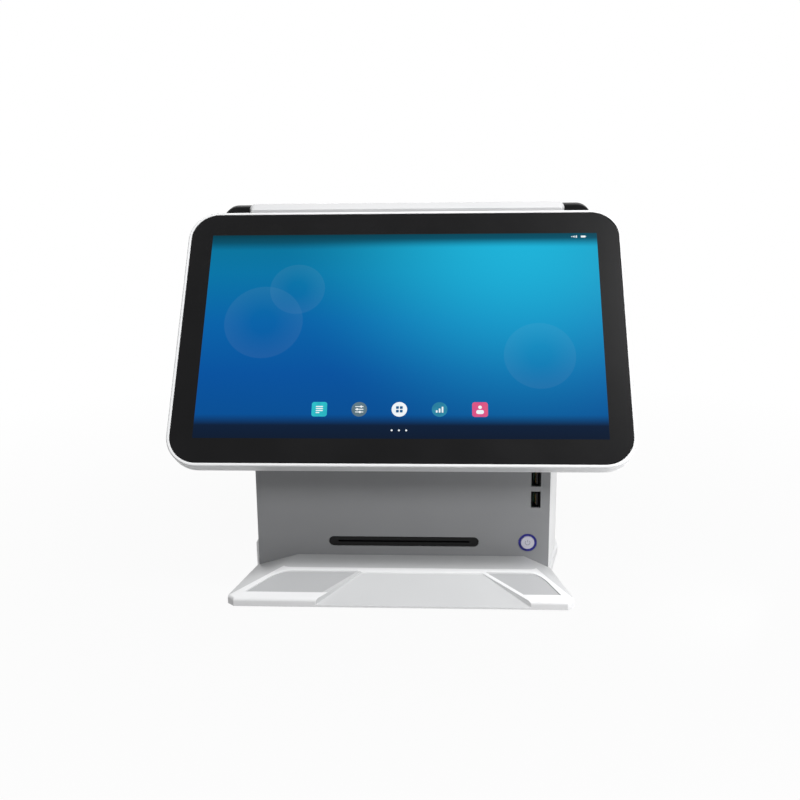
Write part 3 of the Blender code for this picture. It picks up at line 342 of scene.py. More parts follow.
@dataclass(frozen=True)
class Picture(Finish):
    """A lit screen behind etched glass: a blue backdrop with a bright corner and large soft discs."""

    centre: tuple[float, float, float]
    turn: tuple[float, float, float]
    tall: float
    stops: tuple[tuple[float, str], ...]
    glow: str
    glow_place: tuple[float, float]
    glow_size: float
    glow_share: float
    discs: tuple[tuple[float, float, float], ...]
    glow_band: Stops = ((0.06, "#000000"), (0.11, "#FFFFFF"), (0.93, "#FFFFFF"), (0.975, "#404040"))
    disc_colour: str = "#BFEFFF"
    disc_share: float = 0.02
    unlit: str = "#030304"
    roughness: float = 0.22
    specular: float = 0.03

    def inputs(self, tree: NodeTree, where: NodeSocket) -> Inputs:
        """What the Principled shader gets."""
        local = {"Vector": where, "Location": self.centre, "Rotation": self.turn}
        flat = add(tree, "Mapping", local, vector_type="TEXTURE").outputs[0]
        up = add(tree, "SeparateXYZ", {"Vector": flat}).outputs["Z"]
        level = add(tree, "MapRange", {"Value": up, 1: -self.tall / 2, 2: self.tall / 2}).outputs[0]
        colour = add(tree, "ValToRGB", {"Fac": level}, self.stops).outputs[0]
        x, z = self.glow_place
        away = add(tree, "VectorMath", {0: flat, 1: (x, 0.0, z)}, operation="DISTANCE").outputs["Value"]
        soft = {"Value": away, 1: 0.0, 2: self.glow_size, 3: self.glow_share, 4: 0.0}
        glow = add(tree, "MapRange", soft, interpolation_type="SMOOTHSTEP").outputs[0]
        layers = [(glow, add(tree, "ValToRGB", {"Fac": level}, self.glow_band).outputs[0], self.glow)]
        for x, z, radius in self.discs:
            away = add(tree, "VectorMath", {0: flat, 1: (x, 0.0, z)}, operation="DISTANCE").outputs["Value"]
            rim = {"Value": away, 1: radius * 0.3, 2: radius, 3: 0.0, 4: self.disc_share}
            cut = {"Value": away, 1: radius, 2: radius * 1.02, 3: 1.0, 4: 0.0}
            inner, outer = (add(tree, "MapRange", reach).outputs[0] for reach in (rim, cut))
            layers.append((inner, outer, self.disc_colour))
        for strength, within, code in layers:
            share = add(tree, "Math", {0: strength, 1: within}, operation="MULTIPLY").outputs[0]
            colour = add(tree, "Mix", {0: share, 6: colour, 7: linear(code)}, data_type="RGBA").outputs[2]
        return {
            "Base Color": linear(self.unlit),
            "Emission Color": colour,
            "Emission Strength": 1.0,
            "Roughness": self.roughness,
            "Specular IOR Level": self.specular,
        }


# The housings: clean white and soft greys. A deeper, coarser grain makes the ramp and trays look matt.
WHITE = Plastic("satin_white_abs", "white_plastic", "#EBEBEC", "#E4E5E6", 0.36)
# The ramp's own grey, also painted on the lip beside the left tray as shade.
RAMP_AND_LIP_SHADE = Plastic("matt_white_abs_and_painted_lip_shade", "white_plastic", "#C8C9CA", "#C2C3C4", 0.5, 0.8, 0.03)
# A pale grey painted on the plateau and hip flanks behind the front ridge, as the display's shadow and the
# flanks' shade.
SADDLE_SHADE = Plastic("painted_shade_pale_grey", "white_plastic", "#C6C7C8", "#C1C2C3", 0.45, 0.6, 0.02)
# The front panel's own grey, darkened further as painted shade from the display above it.
GREY_AND_SHADE = Plastic("satin_grey_abs_darkened_as_shade", "grey_plastic", "#929395", "#8C8D8F", 0.40)
TRAY = Plastic("textured_grey_abs", "tray_grey", "#B4B5B6", "#ADAEB0", 0.55, 0.9, 0.05)
COVER = Plastic("light_grey_abs", "cover_grey", "#D9D9DA", "#D3D4D5", 0.42)
# Blacks that stay dark beside the white, the rubber without any gloss.
BLACK = Plastic("satin_black_abs", "black_plastic", "#121213", "#0D0D0E", 0.45, ior=1.3)
RUBBER = Plastic("moulded_rubber", "rubber", "#202020", "#191919", 0.82, 0.7, 0.05)
# The button: smooth, faintly lilac, with a sign just darker than its cap.
BUTTON = Plastic("lilac_grey_polycarbonate", "button_grey", "#D3D1DE", "#CBCAD6", 0.34, 0.3, 0.004)
SYMBOL = Plastic("printed_grey_ink", "button_grey", "#8E8FA0", "#868796", 0.5, 0.3, 0.004)
# Metals: cool bright steel, near-black USB shells, warm contacts, and sheet with a frosty pattern.
STEEL = Metal("zinc_plated_steel", "steel", "#B9BABC", "#A2A3A6", 0.34)
DARK_STEEL = Metal("black_nickel_steel", "steel", "#1D1D1F", "#131314", 0.42)
GOLD = Metal("gold_flashed_contact", "steel", "#D9B667", "#C7A254", 0.28)
ALUMINIUM = Metal("extruded_aluminium", "aluminium", "#C9CACC", "#B5B6B9", 0.4, (1.0, 0.05, 1.0))
GALVANISED = Spangled("galvanised_sheet", "steel", ("#A7A9AC", "#C2C4C7"))
# Boards, the black screen border and the blue ring that makes the button easy to find.
MASK = Board("green_solder_mask", "circuit_board", "#1B5C3A", "#2F7C52")
GLASS = Glass("ink_backed_glass", "black_glass", ("#0E0E0F", "#141415"), 0.3, 0.1)
RING = Lit("blue_light_guide", "lit_ring", "#2B2A78", "#23235E")


# Meshes


def sheet(width: float, tall: float, radius: float = 0.0, segments: int = 14) -> BMesh:
    """Start a rounded rectangle round the origin, in the XY plane and facing +Z.

    Args:
        width: Its size along X.
        tall: Its size along Y.
        radius: The radius of its corners.
        segments: Facets in each corner.

    Returns:
        A mesh of one face.
    """
    bm = bmesh.new()
    bmesh.ops.create_grid(bm, x_segments=1, y_segments=1, size=0.5)
    bmesh.ops.scale(bm, vec=(width, tall, 1.0), verts=bm.verts)
    if radius:
        bmesh.ops.bevel(bm, geom=bm.verts[:], affect="VERTICES", offset=radius, segments=segments, **ROUND)
    bm.faces.ensure_lookup_table()
    return bm


def disc(radius: float, segments: int = 48) -> BMesh:
    """Start a round face in the XY plane, facing +Z."""
    bm = bmesh.new()
    bmesh.ops.create_circle(bm, cap_ends=True, segments=segments, radius=radius)
    bm.faces.ensure_lookup_table()
    return bm


def climb(bm: BMesh, face: BMFace, steps: Steps) -> BMFace:
    """Move a face in steps, leaving a wall behind each of them.

    Args:
        bm: The mesh.
        face: The face that moves.
        steps: How far it shrinks from its edges, and how far it moves along its normal.

    Returns:
        The face where it ends.
    """
    for inset, rise in steps:
        if inset:
            even = {"use_boundary": True, "use_even_offset": True}
            bmesh.ops.inset_region(bm, faces=[face], thickness=inset, depth=rise, **even)
            continue
        normal = face.normal.copy()
        face = bmesh.ops.extrude_discrete_faces(bm, faces=[face])["faces"][0]
        bmesh.ops.translate(bm, vec=normal * rise, verts=face.verts)
    return face


def fillet(radius: float, segments: int = 4, hollow: bool = False) -> list[tuple[float, float]]:
    """Steps round a quarter circle from a wall to a face, or down into a hollow.

    Args:
        radius: The radius.
        segments: Number of steps.
        hollow: Whether it runs from a face down into a hole.

    Returns:
        Inset and rise of each step.
    """
    turns = [math.pi / 2 * i / segments for i in range(segments + 1)]
    steps = []
    for a, b in zip(turns, turns[1:]):
        inward, upward = math.cos(a) - math.cos(b), math.sin(b) - math.sin(a)
        steps.append((radius * upward, -radius * inward) if hollow else (radius * inward, radius * upward))
    return steps


def two_sided(bm: BMesh, front: Steps, back: Steps) -> tuple[BMFace, BMFace]:
    """Grow a solid both ways from a flat outline.

    Args:
        bm: A mesh of one face.
        front: Steps of the face along its normal.
        back: Steps of its reverse.

    Returns:
        The solid's last front and back faces.
    """
    face = bm.faces[0]
    copy = bmesh.ops.duplicate(bm, geom=[face])["geom"]
    reverse = next(item for item in copy if isinstance(item, BMFace))
    bmesh.ops.reverse_faces(bm, faces=[reverse])
    reverse.normal_update()
    ends = climb(bm, face, front), climb(bm, reverse, back)
    bmesh.ops.remove_doubles(bm, verts=bm.verts, dist=1e-7)
    return ends


def bring_in(whole: BMesh, bm: BMesh) -> None:
    """Copy a mesh into another. It is used up."""
    data = bpy.data.meshes.new("brought_in")
    bm.to_mesh(data)
    bm.free()
    whole.from_mesh(data)
    bpy.data.meshes.remove(data)


def inlay(bm: BMesh, face: BMFace, shapes: Iterable[BMesh]) -> list[BMFace]:
    """Let flat shapes into a flat face that looks along Z, so that the face runs round them.

    Args:
        bm: The mesh.
        face: The face, at the shapes' own place in X and Y.
        shapes: Meshes of one face each. They are used up.

    Returns:
        The shapes' faces within the mesh.
    """
    level = face.verts[0].co.z
    upward = face.normal.z > 0
    edges = list(face.edges)
    bmesh.ops.delete(bm, geom=[face], context="FACES_ONLY")
    faces = []
    for shape in shapes:
        others = set(bm.faces)
        bring_in(bm, moved(shape, z=level))
        (new,) = set(bm.faces) - others
        if not upward:
            bmesh.ops.reverse_faces(bm, faces=[new])
        new.normal_update()
        edges += new.edges
        faces.append(new)
    bmesh.ops.triangle_fill(bm, use_beauty=True, use_dissolve=False, edges=edges)
    return faces


def lit_glass(outline: BMesh, thickness: float, edge: float, picture: tuple[float, float]) -> BMesh:
    """Grow a glass from its outline, with its second finish where it shows a picture.

    Args:
        outline: A mesh of one face.
        thickness: The glass's thickness.
        edge: The radius of its front edge.
        picture: The picture's width and height.

    Returns:
        The outline's mesh.
    """
    front, _ = two_sided(outline, fillet(edge, 3), [(0.0, thickness - edge)])
    (lit,) = inlay(outline, front, [sheet(*picture)])
    lit.material_index = 1
    return outline


def moved(bm: BMesh, x: float = 0.0, y: float = 0.0, z: float = 0.0) -> BMesh:
    """Shift a mesh."""
    bmesh.ops.translate(bm, vec=(x, y, z), verts=bm.verts)
    return bm


def joined(meshes: Iterable[BMesh]) -> BMesh:
    """Put several meshes into one. They are used up."""
    whole = bmesh.new()
    for bm in meshes:
        bring_in(whole, bm)
    return whole


def block(low: Sequence[float], high: Sequence[float], radius: float) -> BMesh:
    """A box with rounded edges between two corners."""
    bm = bmesh.new()
    bmesh.ops.create_cube(bm, size=1.0)
    size = Vector(high) - Vector(low)
    bmesh.ops.scale(bm, vec=size, verts=bm.verts)
    bmesh.ops.translate(bm, vec=(Vector(low) + Vector(high)) / 2, verts=bm.verts)
    round_edges(bm, bm.edges[:], radius, 2, clamp=False)
    return bm


def copied(node: str) -> BMesh:
    """Copy a CAD node with its loose triangles joined."""
    bm = bmesh.new()
    bm.from_mesh(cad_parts[node].data)
    bmesh.ops.remove_doubles(bm, verts=bm.verts, dist=2e-6)
    return bm


def flattened(bm: BMesh) -> BMesh:
    """Join a mesh's triangles into flat faces, one for each finish."""
    flat = math.radians(0.5)
    bmesh.ops.dissolve_limit(bm, angle_limit=flat, verts=bm.verts, edges=bm.edges, delimit={"MATERIAL"})
    return bm


def round_edges(
    bm: BMesh, edges: Sequence[BMEdge], radius: float, segments: int = 3, clamp: bool = True
) -> None:
    """Round some edges.

    Args:
        bm: The mesh.
        edges: The edges.
        radius: Their radius.
        segments: Facets in each rounded edge.
        clamp: Whether short edges nearby may make the radius smaller.
    """
    shape = {"offset": radius, "segments": segments, "clamp_overlap": clamp, **ROUND}
    bmesh.ops.bevel(bm, geom=edges, affect="EDGES", **shape)


def sharp_edges(bm: BMesh) -> list[BMEdge]:
    """The edges where a mesh turns sharply."""
    return [e for e in bm.edges if e.is_manifold and e.calc_face_angle() > SHARP]


def softened(node: str, radius: float, segments: int = 3) -> BMesh:
    """Copy a CAD node and round its sharp edges.

    Args:
        node: The node's name.
        radius: The edges' radius.
        segments: Facets in each rounded edge.

    Returns:
        The rounded copy.
    """
    bm = flattened(copied(node))
    round_edges(bm, sharp_edges(bm), radius, segments)
    return bm


def stand(name: str, data: ID) -> Object:
    """Put a mesh, lamp or camera into the scene."""
    obj = bpy.data.objects.new(name, data)
    bpy.context.scene.collection.objects.link(obj)
    return obj


def piece(
    name: str,
    bm: BMesh,
    finishes: Sequence[Finish],
    body: Body,
    stands_for: Sequence[str] = (),
    outward: bool = True,
    place: Matrix | None = None,
) -> Object:
    """Finish a mesh as a piece of the terminal.

    Args:
        name: The piece's name.
        bm: Its mesh. It is used up.
        finishes: Its materials.
        body: The body it moves with.
        stands_for: The CAD nodes that it replaces.
        outward: Whether its faces still have to be turned outwards.
        place: Where its mesh goes, if it isn't there yet.

    Returns:
        The piece's object.
    """
    if place:
        bmesh.ops.transform(bm, matrix=place, verts=bm.verts)
    if outward:
        bmesh.ops.recalc_face_normals(bm, faces=bm.faces)
    mesh = bpy.data.meshes.new(name)
    bm.to_mesh(mesh)
    bm.free()
    for finish in finishes:
        mesh.materials.append(finish.material())
    mesh.shade_smooth()
    mesh.set_sharp_from_angle(angle=SHARP)
    obj = stand(name, mesh)
    even = obj.modifiers.new("even_shading", "WEIGHTED_NORMAL")
    even.keep_sharp = True
    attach(obj, body.value)
    if stands_for:
        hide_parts(*stands_for)
    LOG.info("%s: %d faces", name, len(mesh.polygons))
    return obj


def round_off(nodes: Iterable[str], finish: Finish, body: Body, radius: float, segments: int = 3) -> None:
    """Replace CAD nodes by copies with rounded edges.

    Args:
        nodes: The nodes' names.
        finish: Their finish.
        body: The body they move with.
        radius: The edges' radius.
        segments: Facets in each rounded edge.
    """
    for node in nodes:
        piece(f"{node}_finished", softened(node, radius, segments), [finish], body, [node], outward=False)


def dress(nodes: Iterable[str], finish: Finish) -> None:
    """Give CAD nodes that keep their shape a finish."""
    for node in nodes:
        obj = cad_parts[node]
        obj.data.materials.clear()
        obj.data.materials.append(finish.material())
        LOG.info("%s: kept, %s", node, finish.name)


def upright(origin: Sequence[float], right: Sequence[float], up: Sequence[float]) -> Matrix:
    """The place of a plane that faces its viewer.

    Args:
        origin: Where its origin lies.
        right: The viewer's right on it.
        up: Up on it.

    Returns:
        A matrix from the plane's X, Y and outward Z.
    """
    x, y = Vector(right), Vector(up)
    return Matrix.Translation(origin) @ Matrix((x, y, x.cross(y))).transposed().to_4x4()


# The terminal


@dataclass
class WedgeBase:
    """The foot: a moulded wedge with two trays and a ramp, a steel bottom, rubber feet and screws."""

    edge: float = 0.2 * MM
    nose_radius: float = 2.4 * MM
    nose_rear: float = -117.0 * MM
    nose_low: float = 7.0 * MM
    foot_radius: float = 9.0 * MM
    foot_height: float = 1.5 * MM
    feet: tuple[str, ...] = ("front_left", "front_right", "rear_left", "rear_right")
    screw_radius: float = 3.2 * MM
    ramp_toe: tuple[float, float] = (-124.0 * MM, 3.4 * MM)
    ramp_top: tuple[float, float] = (-93.0 * MM, 19.28 * MM)
    lip_ends: tuple[float, float] = (-116.0 * MM, -92.2 * MM)
    lip_x: tuple[float, float] = (-73.0 * MM, -36.8 * MM)
    lip_reach: float = 5.0 * MM
    slope_toe: tuple[float, float] = (-124.0 * MM, 8.4 * MM)
    slope_top: tuple[float, float] = (-88.0 * MM, 22.2 * MM)
    shaded_saddle_lean: float = -0.12
    shaded_saddle_level: float = 0.8
    shaded_saddle_rear: float = -57.5 * MM
    shaded_saddle_low: float = 9.0 * MM
    touch: float = 0.1 * MM

    def build(self) -> None:
        """Build the foot's pieces."""
        self.shell()
        round_off(["left_tray_panel", "right_tray_panel"], TRAY, Body.STAND, 0.3 * MM, 2)
        dress(["base_plate"], GALVANISED)
        for word in self.feet:
            self.foot(word)
            self.screw(word)

    def shell(self) -> None:
        """The moulded wedge, with a greyer tone on its ramp, and painted shade on its left lip and on the
        saddle behind its front ridge.
        """
        bm = copied("base_shell")
        (toe_y, toe_z), (top_y, top_z) = self.ramp_toe, self.ramp_top
        rise = (top_z - toe_z) / (top_y - toe_y)
        for y in self.lip_ends:
            cut = {"plane_co": (0.0, y, 0.0), "plane_no": (0.0, 1.0, 0.0)}
            bmesh.ops.bisect_plane(bm, geom=[*bm.verts, *bm.edges, *bm.faces], dist=1e-6, **cut)
        bm.normal_update()
        # The lip beside the left tray gets the ramp's grey as painted shade, set before the edges are
        # rounded.
        for face in bm.faces:
            middle = face.calc_center_median()
            on_slope = abs(middle.z - self.slope(middle.y)) < self.touch
            face.material_index = int(on_slope and self.on_shaded_lip(middle))
        flattened(bm)
        nose = [e for e in sharp_edges(bm) if all(self.on_nose(v.co) for v in e.verts)]
        round_edges(bm, nose, self.nose_radius, 5)
        round_edges(bm, sharp_edges(bm), self.edge, 2, clamp=False)
        bm.normal_update()
        for face in bm.faces:
            middle = face.calc_center_median()
            off_ramp = max(abs(v.co.z - toe_z - (v.co.y - toe_y) * rise) for v in face.verts)
            level = face.normal.y > self.shaded_saddle_lean and face.normal.z > self.shaded_saddle_level
            # Ramp faces get the ramp's grey; the left lip gets it too, as painted shade.
            if off_ramp < self.touch or self.on_shaded_lip(face.calc_center_bounds()):
                face.material_index = 1
            # Level faces behind the front ridge get the pale grey, painted as the display's shadow.
            elif level and middle.y < self.shaded_saddle_rear and middle.z > self.shaded_saddle_low:
                face.material_index = 2
        piece("base_shell_finished", bm, [WHITE, RAMP_AND_LIP_SHADE, SADDLE_SHADE], Body.STAND, ["base_shell"], outward=False)

    def on_nose(self, point: Vector) -> bool:
        """Whether a point lies along the upper front edges."""
        return point.y < self.nose_rear and point.z > self.nose_low

    def on_shaded_lip(self, point: Vector) -> bool:
        """Whether a point lies on the lip between the left tray and the ramp, which gets the ramp's grey as
        painted shade.
        """
        along = (point.y - self.ramp_toe[0]) / (self.ramp_top[0] - self.ramp_toe[0])
        centre = self.lip_x[0] + (self.lip_x[1] - self.lip_x[0]) * along
        return abs(point.x - centre) < self.lip_reach and self.lip_ends[0] < point.y < self.lip_ends[1]

    def slope(self, y: float) -> float:
        """Height of the front slope at a depth."""
        (toe_y, toe_z), (top_y, top_z) = self.slope_toe, self.slope_top
        return toe_z + (y - toe_y) * (top_z - toe_z) / (top_y - toe_y)

    def foot(self, word: str) -> None:
        """A rubber foot with a rounded rim and a shallow cup.

        Args:
            word: Which foot.
        """
        low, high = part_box(f"{word}_foot")
        middle = (low + high) / 2
        rim = 0.5 * MM
        bm = disc(self.foot_radius)
        down = [(0.0, self.foot_height - rim), *fillet(rim), (1.6 * MM, 0.0), (0.8 * MM, -0.4 * MM)]
        two_sided(bm, [(0.5 * MM, 0.0)], down)
        moved(bm, middle.x, middle.y, high.z)
        piece(f"{word}_rubber_foot", bm, [RUBBER], Body.STAND, [f"{word}_foot"])

    def screw(self, word: str) -> None:
        """A pan-head screw with a cross recess.

        Args:
            word: The foot that it sits beside.
        """
        node = f"{word}_base_screw"
        low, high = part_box(node)
        middle = (low + high) / 2
        head = 1.0 * MM
        bm = disc(self.screw_radius, 32)
        shank = [(1.7 * MM, 0.0), (0.0, high.z - low.z - head), (0.4 * MM, 0.4 * MM)]
        _, under = two_sided(bm, shank, [(0.0, head * 0.4), *fillet(head * 0.6, 3)])
        (hollow,) = inlay(bm, under, [self.cross(1.7 * MM, 0.35 * MM)])
        climb(bm, hollow, [(0.0, -0.7 * MM)])
        moved(bm, middle.x, middle.y, low.z + head)
        piece(f"{word}_screw", bm, [STEEL], Body.STAND, [node])

    def cross(self, arm: float, half: float) -> BMesh:
        """Outline of a cross recess.

        Args:
            arm: Half its span.
            half: Half the width of its arms.

        Returns:
            A mesh of one cross-shaped face.
        """
        bm = bmesh.new()
        bmesh.ops.create_grid(bm, x_segments=3, y_segments=3, size=arm)
        for vert in bm.verts:
            for axis in (0, 1):
                if abs(vert.co[axis]) < arm * 0.9:
                    vert.co[axis] = math.copysign(half, vert.co[axis])
        corners = [f for f in bm.faces if all(abs(c) > half for c in f.calc_center_median().xy)]
        bmesh.ops.delete(bm, geom=corners, context="FACES")
        bmesh.ops.dissolve_faces(bm, faces=bm.faces[:])
        bm.faces.ensure_lookup_table()
        return bm


@dataclass
class Pedestal:
    """The body on the foot: white shell, grey panel with slot, USB sockets and lit button, rear sockets."""

    usb_heights: tuple[float, float] = (75.2 * MM, 94.7 * MM)
    button_x: float = 111.6 * MM
    button_z: float = 35.0 * MM
    panel_y: float = -57.5 * MM
    button_radius: float = 6.0 * MM
    ring_width: float = 1.7 * MM
    cap_depth: float = 6.2 * MM
    wire_pitch: float = 1.02 * MM

    def build(self) -> None:
        """Build the pedestal's pieces."""
        rounded = (
            (["body_shell"], WHITE, 1.0, 3),
            (["neck_cover"], WHITE, 1.8, 3),
            # The front panel: its own grey, darkened as painted shade.
            (["front_panel"], GREY_AND_SHADE, 0.5, 3),
            (["slot_grille"], BLACK, 0.3, 2),
            (["rear_socket_plate"], STEEL, 0.2, 2),
            (["network_socket", "drawer_socket", "power_inlet"], BLACK, 0.3, 2),
            (["lower_usb_shell", "upper_usb_shell"], DARK_STEEL, 0.12, 2),
            (["lower_usb_tongue", "upper_usb_tongue"], BLACK, 0.25, 2),
        )
        for nodes, finish, radius_mm, segments in rounded:
            round_off(nodes, finish, Body.STAND, radius_mm * MM, segments)
        dress(["mainboard", "front_socket_board"], MASK)
        dress(["heat_sink"], ALUMINIUM)
        dress(["left_speaker", "right_speaker", "power_switch"], BLACK)
        dress(["left_hinge_arm", "right_hinge_arm"], STEEL)
        self.usb_contacts()
        self.rear_contacts()
        self.ring()
        self.cap()

    def usb_contacts(self) -> None:
        """Four spring contacts on each USB tongue."""
        for word, z in zip(("lower", "upper"), self.usb_heights):
            low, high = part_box(f"{word}_usb_tongue")
            strips = []
            for place in (-3.5, -1.0, 1.0, 3.5):
                start = (low.x - 0.12 * MM, low.y + 0.9 * MM, z + (place - 0.5) * MM)
                end = (low.x + 0.1 * MM, high.y - 1.0 * MM, z + (place + 0.5) * MM)
                strips.append(block(start, end, 0.05 * MM))
            piece(f"{word}_usb_contacts", joined(strips), [GOLD], Body.STAND)

    def rear_contacts(self) -> None:
        """Wire contacts in the network and drawer sockets."""
        for word, count, rise in (("network", 8, 4.1 * MM), ("drawer", 6, 3.4 * MM)):
            low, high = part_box(f"{word}_socket")
            middle = (low + high) / 2
            top = middle.z + rise
            wires = []
            for number in range(count):
                x = middle.x + (number - (count - 1) / 2) * self.wire_pitch
                start = (x - 0.2 * MM, low.y + 3.6 * MM, top - 0.9 * MM)
                wires.append(block(start, (x + 0.2 * MM, high.y - 4.0 * MM, top + 0.2 * MM), 0.08 * MM))
            piece(f"{word}_contacts", joined(wires), [GOLD], Body.STAND)

    def face(self, y: float) -> Matrix:
        """The plane of the button, facing the operator, at a place along Y."""
        return upright((self.button_x, y, self.button_z), (1, 0, 0), (0, 0, 1))

    def ring(self) -> None:
        """The light guide round the button, with a rounded lip."""
        low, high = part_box("button_ring")
        bore = self.button_radius + 0.3 * MM
        rim = bore + self.ring_width
        flange = (high.x - low.x) / 2
        lip = 0.5 * MM
        proud = self.panel_y - low.y
        depth = high.y - self.panel_y
        bm = disc(flange, 64)
        flange_depth = 1.2 * MM
        front, back = two_sided(
            bm,
            [
                (flange - rim, 0.0),
                (0.0, depth - flange_depth + proud - lip),
                *fillet(lip),
                (self.ring_width - 2 * lip, 0.0),
                *fillet(lip, hollow=True),
                (0.0, lip - depth - proud),
            ],
            [(0.0, flange_depth), (flange - bore, 0.0)],
        )
        bmesh.ops.delete(bm, geom=[f for f in (front, back) if f.is_valid], context="FACES_ONLY")
        bmesh.ops.remove_doubles(bm, verts=bm.verts, dist=1e-6)
        place = self.face(high.y - flange_depth)
        piece("button_light_guide", bm, [RING], Body.STAND, ["button_ring"], place=place)

    def cap(self) -> None:
        """The button's dished cap and stem, with a power sign in its face."""
        low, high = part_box("power_button")
        skirt = (high.x - low.x) / 2
        skirt_back = low.y + self.cap_depth
        skirt_depth, edge, dish, stem = 1.0 * MM, 0.5 * MM, 0.12 * MM, 2.5 * MM
        neck, wall = skirt - self.button_radius, self.cap_depth - skirt_depth - edge
        bm = disc(skirt, 64)
        two_sided(
            bm,
            [(neck, 0.0), (0.0, wall), *fillet(edge), (1.0 * MM, -dish)],
            [(0.0, skirt_depth), (skirt - stem, 0.0), (0.0, high.y - skirt_back), (0.3 * MM, 0.0)],
        )
        place = self.face(skirt_back - skirt_depth)
        piece("power_button_cap", bm, [BUTTON], Body.BUTTON, ["power_button"], place=place)
        self.sign(low.y + dish)

    def sign(self, y: float) -> None:
        """A printed power sign: an open ring with a bar.

        Args:
            y: Where the cap's face lies.
        """
        radius, width, thick = 2.1 * MM, 0.5 * MM, 0.04 * MM
        bar = moved(sheet(width, 2.2 * MM), 0.0, 1.5 * MM)
        two_sided(bar, [(0.0, thick)], [(0.0, thick)])
        arc = sheet(width, 2 * thick)
        bmesh.ops.rotate(arc, matrix=Matrix.Rotation(math.pi / 2, 3, "X"), verts=arc.verts)
        moved(arc, radius)
        open_share = math.radians(40)
        bmesh.ops.rotate(arc, matrix=Matrix.Rotation(math.pi / 2 + open_share, 3, "Z"), verts=arc.verts)
        turn = {"cent": (0, 0, 0), "axis": (0, 0, 1), "angle": 2 * math.pi - 2 * open_share, "steps": 28}
        bmesh.ops.spin(arc, geom=[*arc.faces, *arc.edges, *arc.verts], **turn)
        whole = joined([bar, arc])
        piece("power_sign", whole, [SYMBOL], Body.BUTTON, place=self.face(y))


@dataclass
class Hinges:
    """The two friction hinges: shafts, washers and nuts on the stand, knuckles on the displays."""

    sides: tuple[str, str] = ("left", "right")

    def build(self) -> None:
        """Build both hinges."""
        for word, body in (("main", Body.MAIN), ("customer", Body.CUSTOMER)):
            round_off([f"{word}_hinge_shaft"], STEEL, Body.STAND, 0.8 * MM)
            for side in self.sides:
                round_off([f"{word}_{side}_washer"], STEEL, Body.STAND, 0.4 * MM, 2)
                round_off([f"{word}_{side}_nut"], STEEL, Body.STAND, 0.6 * MM, 2)
                round_off([f"{word}_{side}_knuckle"], STEEL, body, 0.5 * MM, 2)


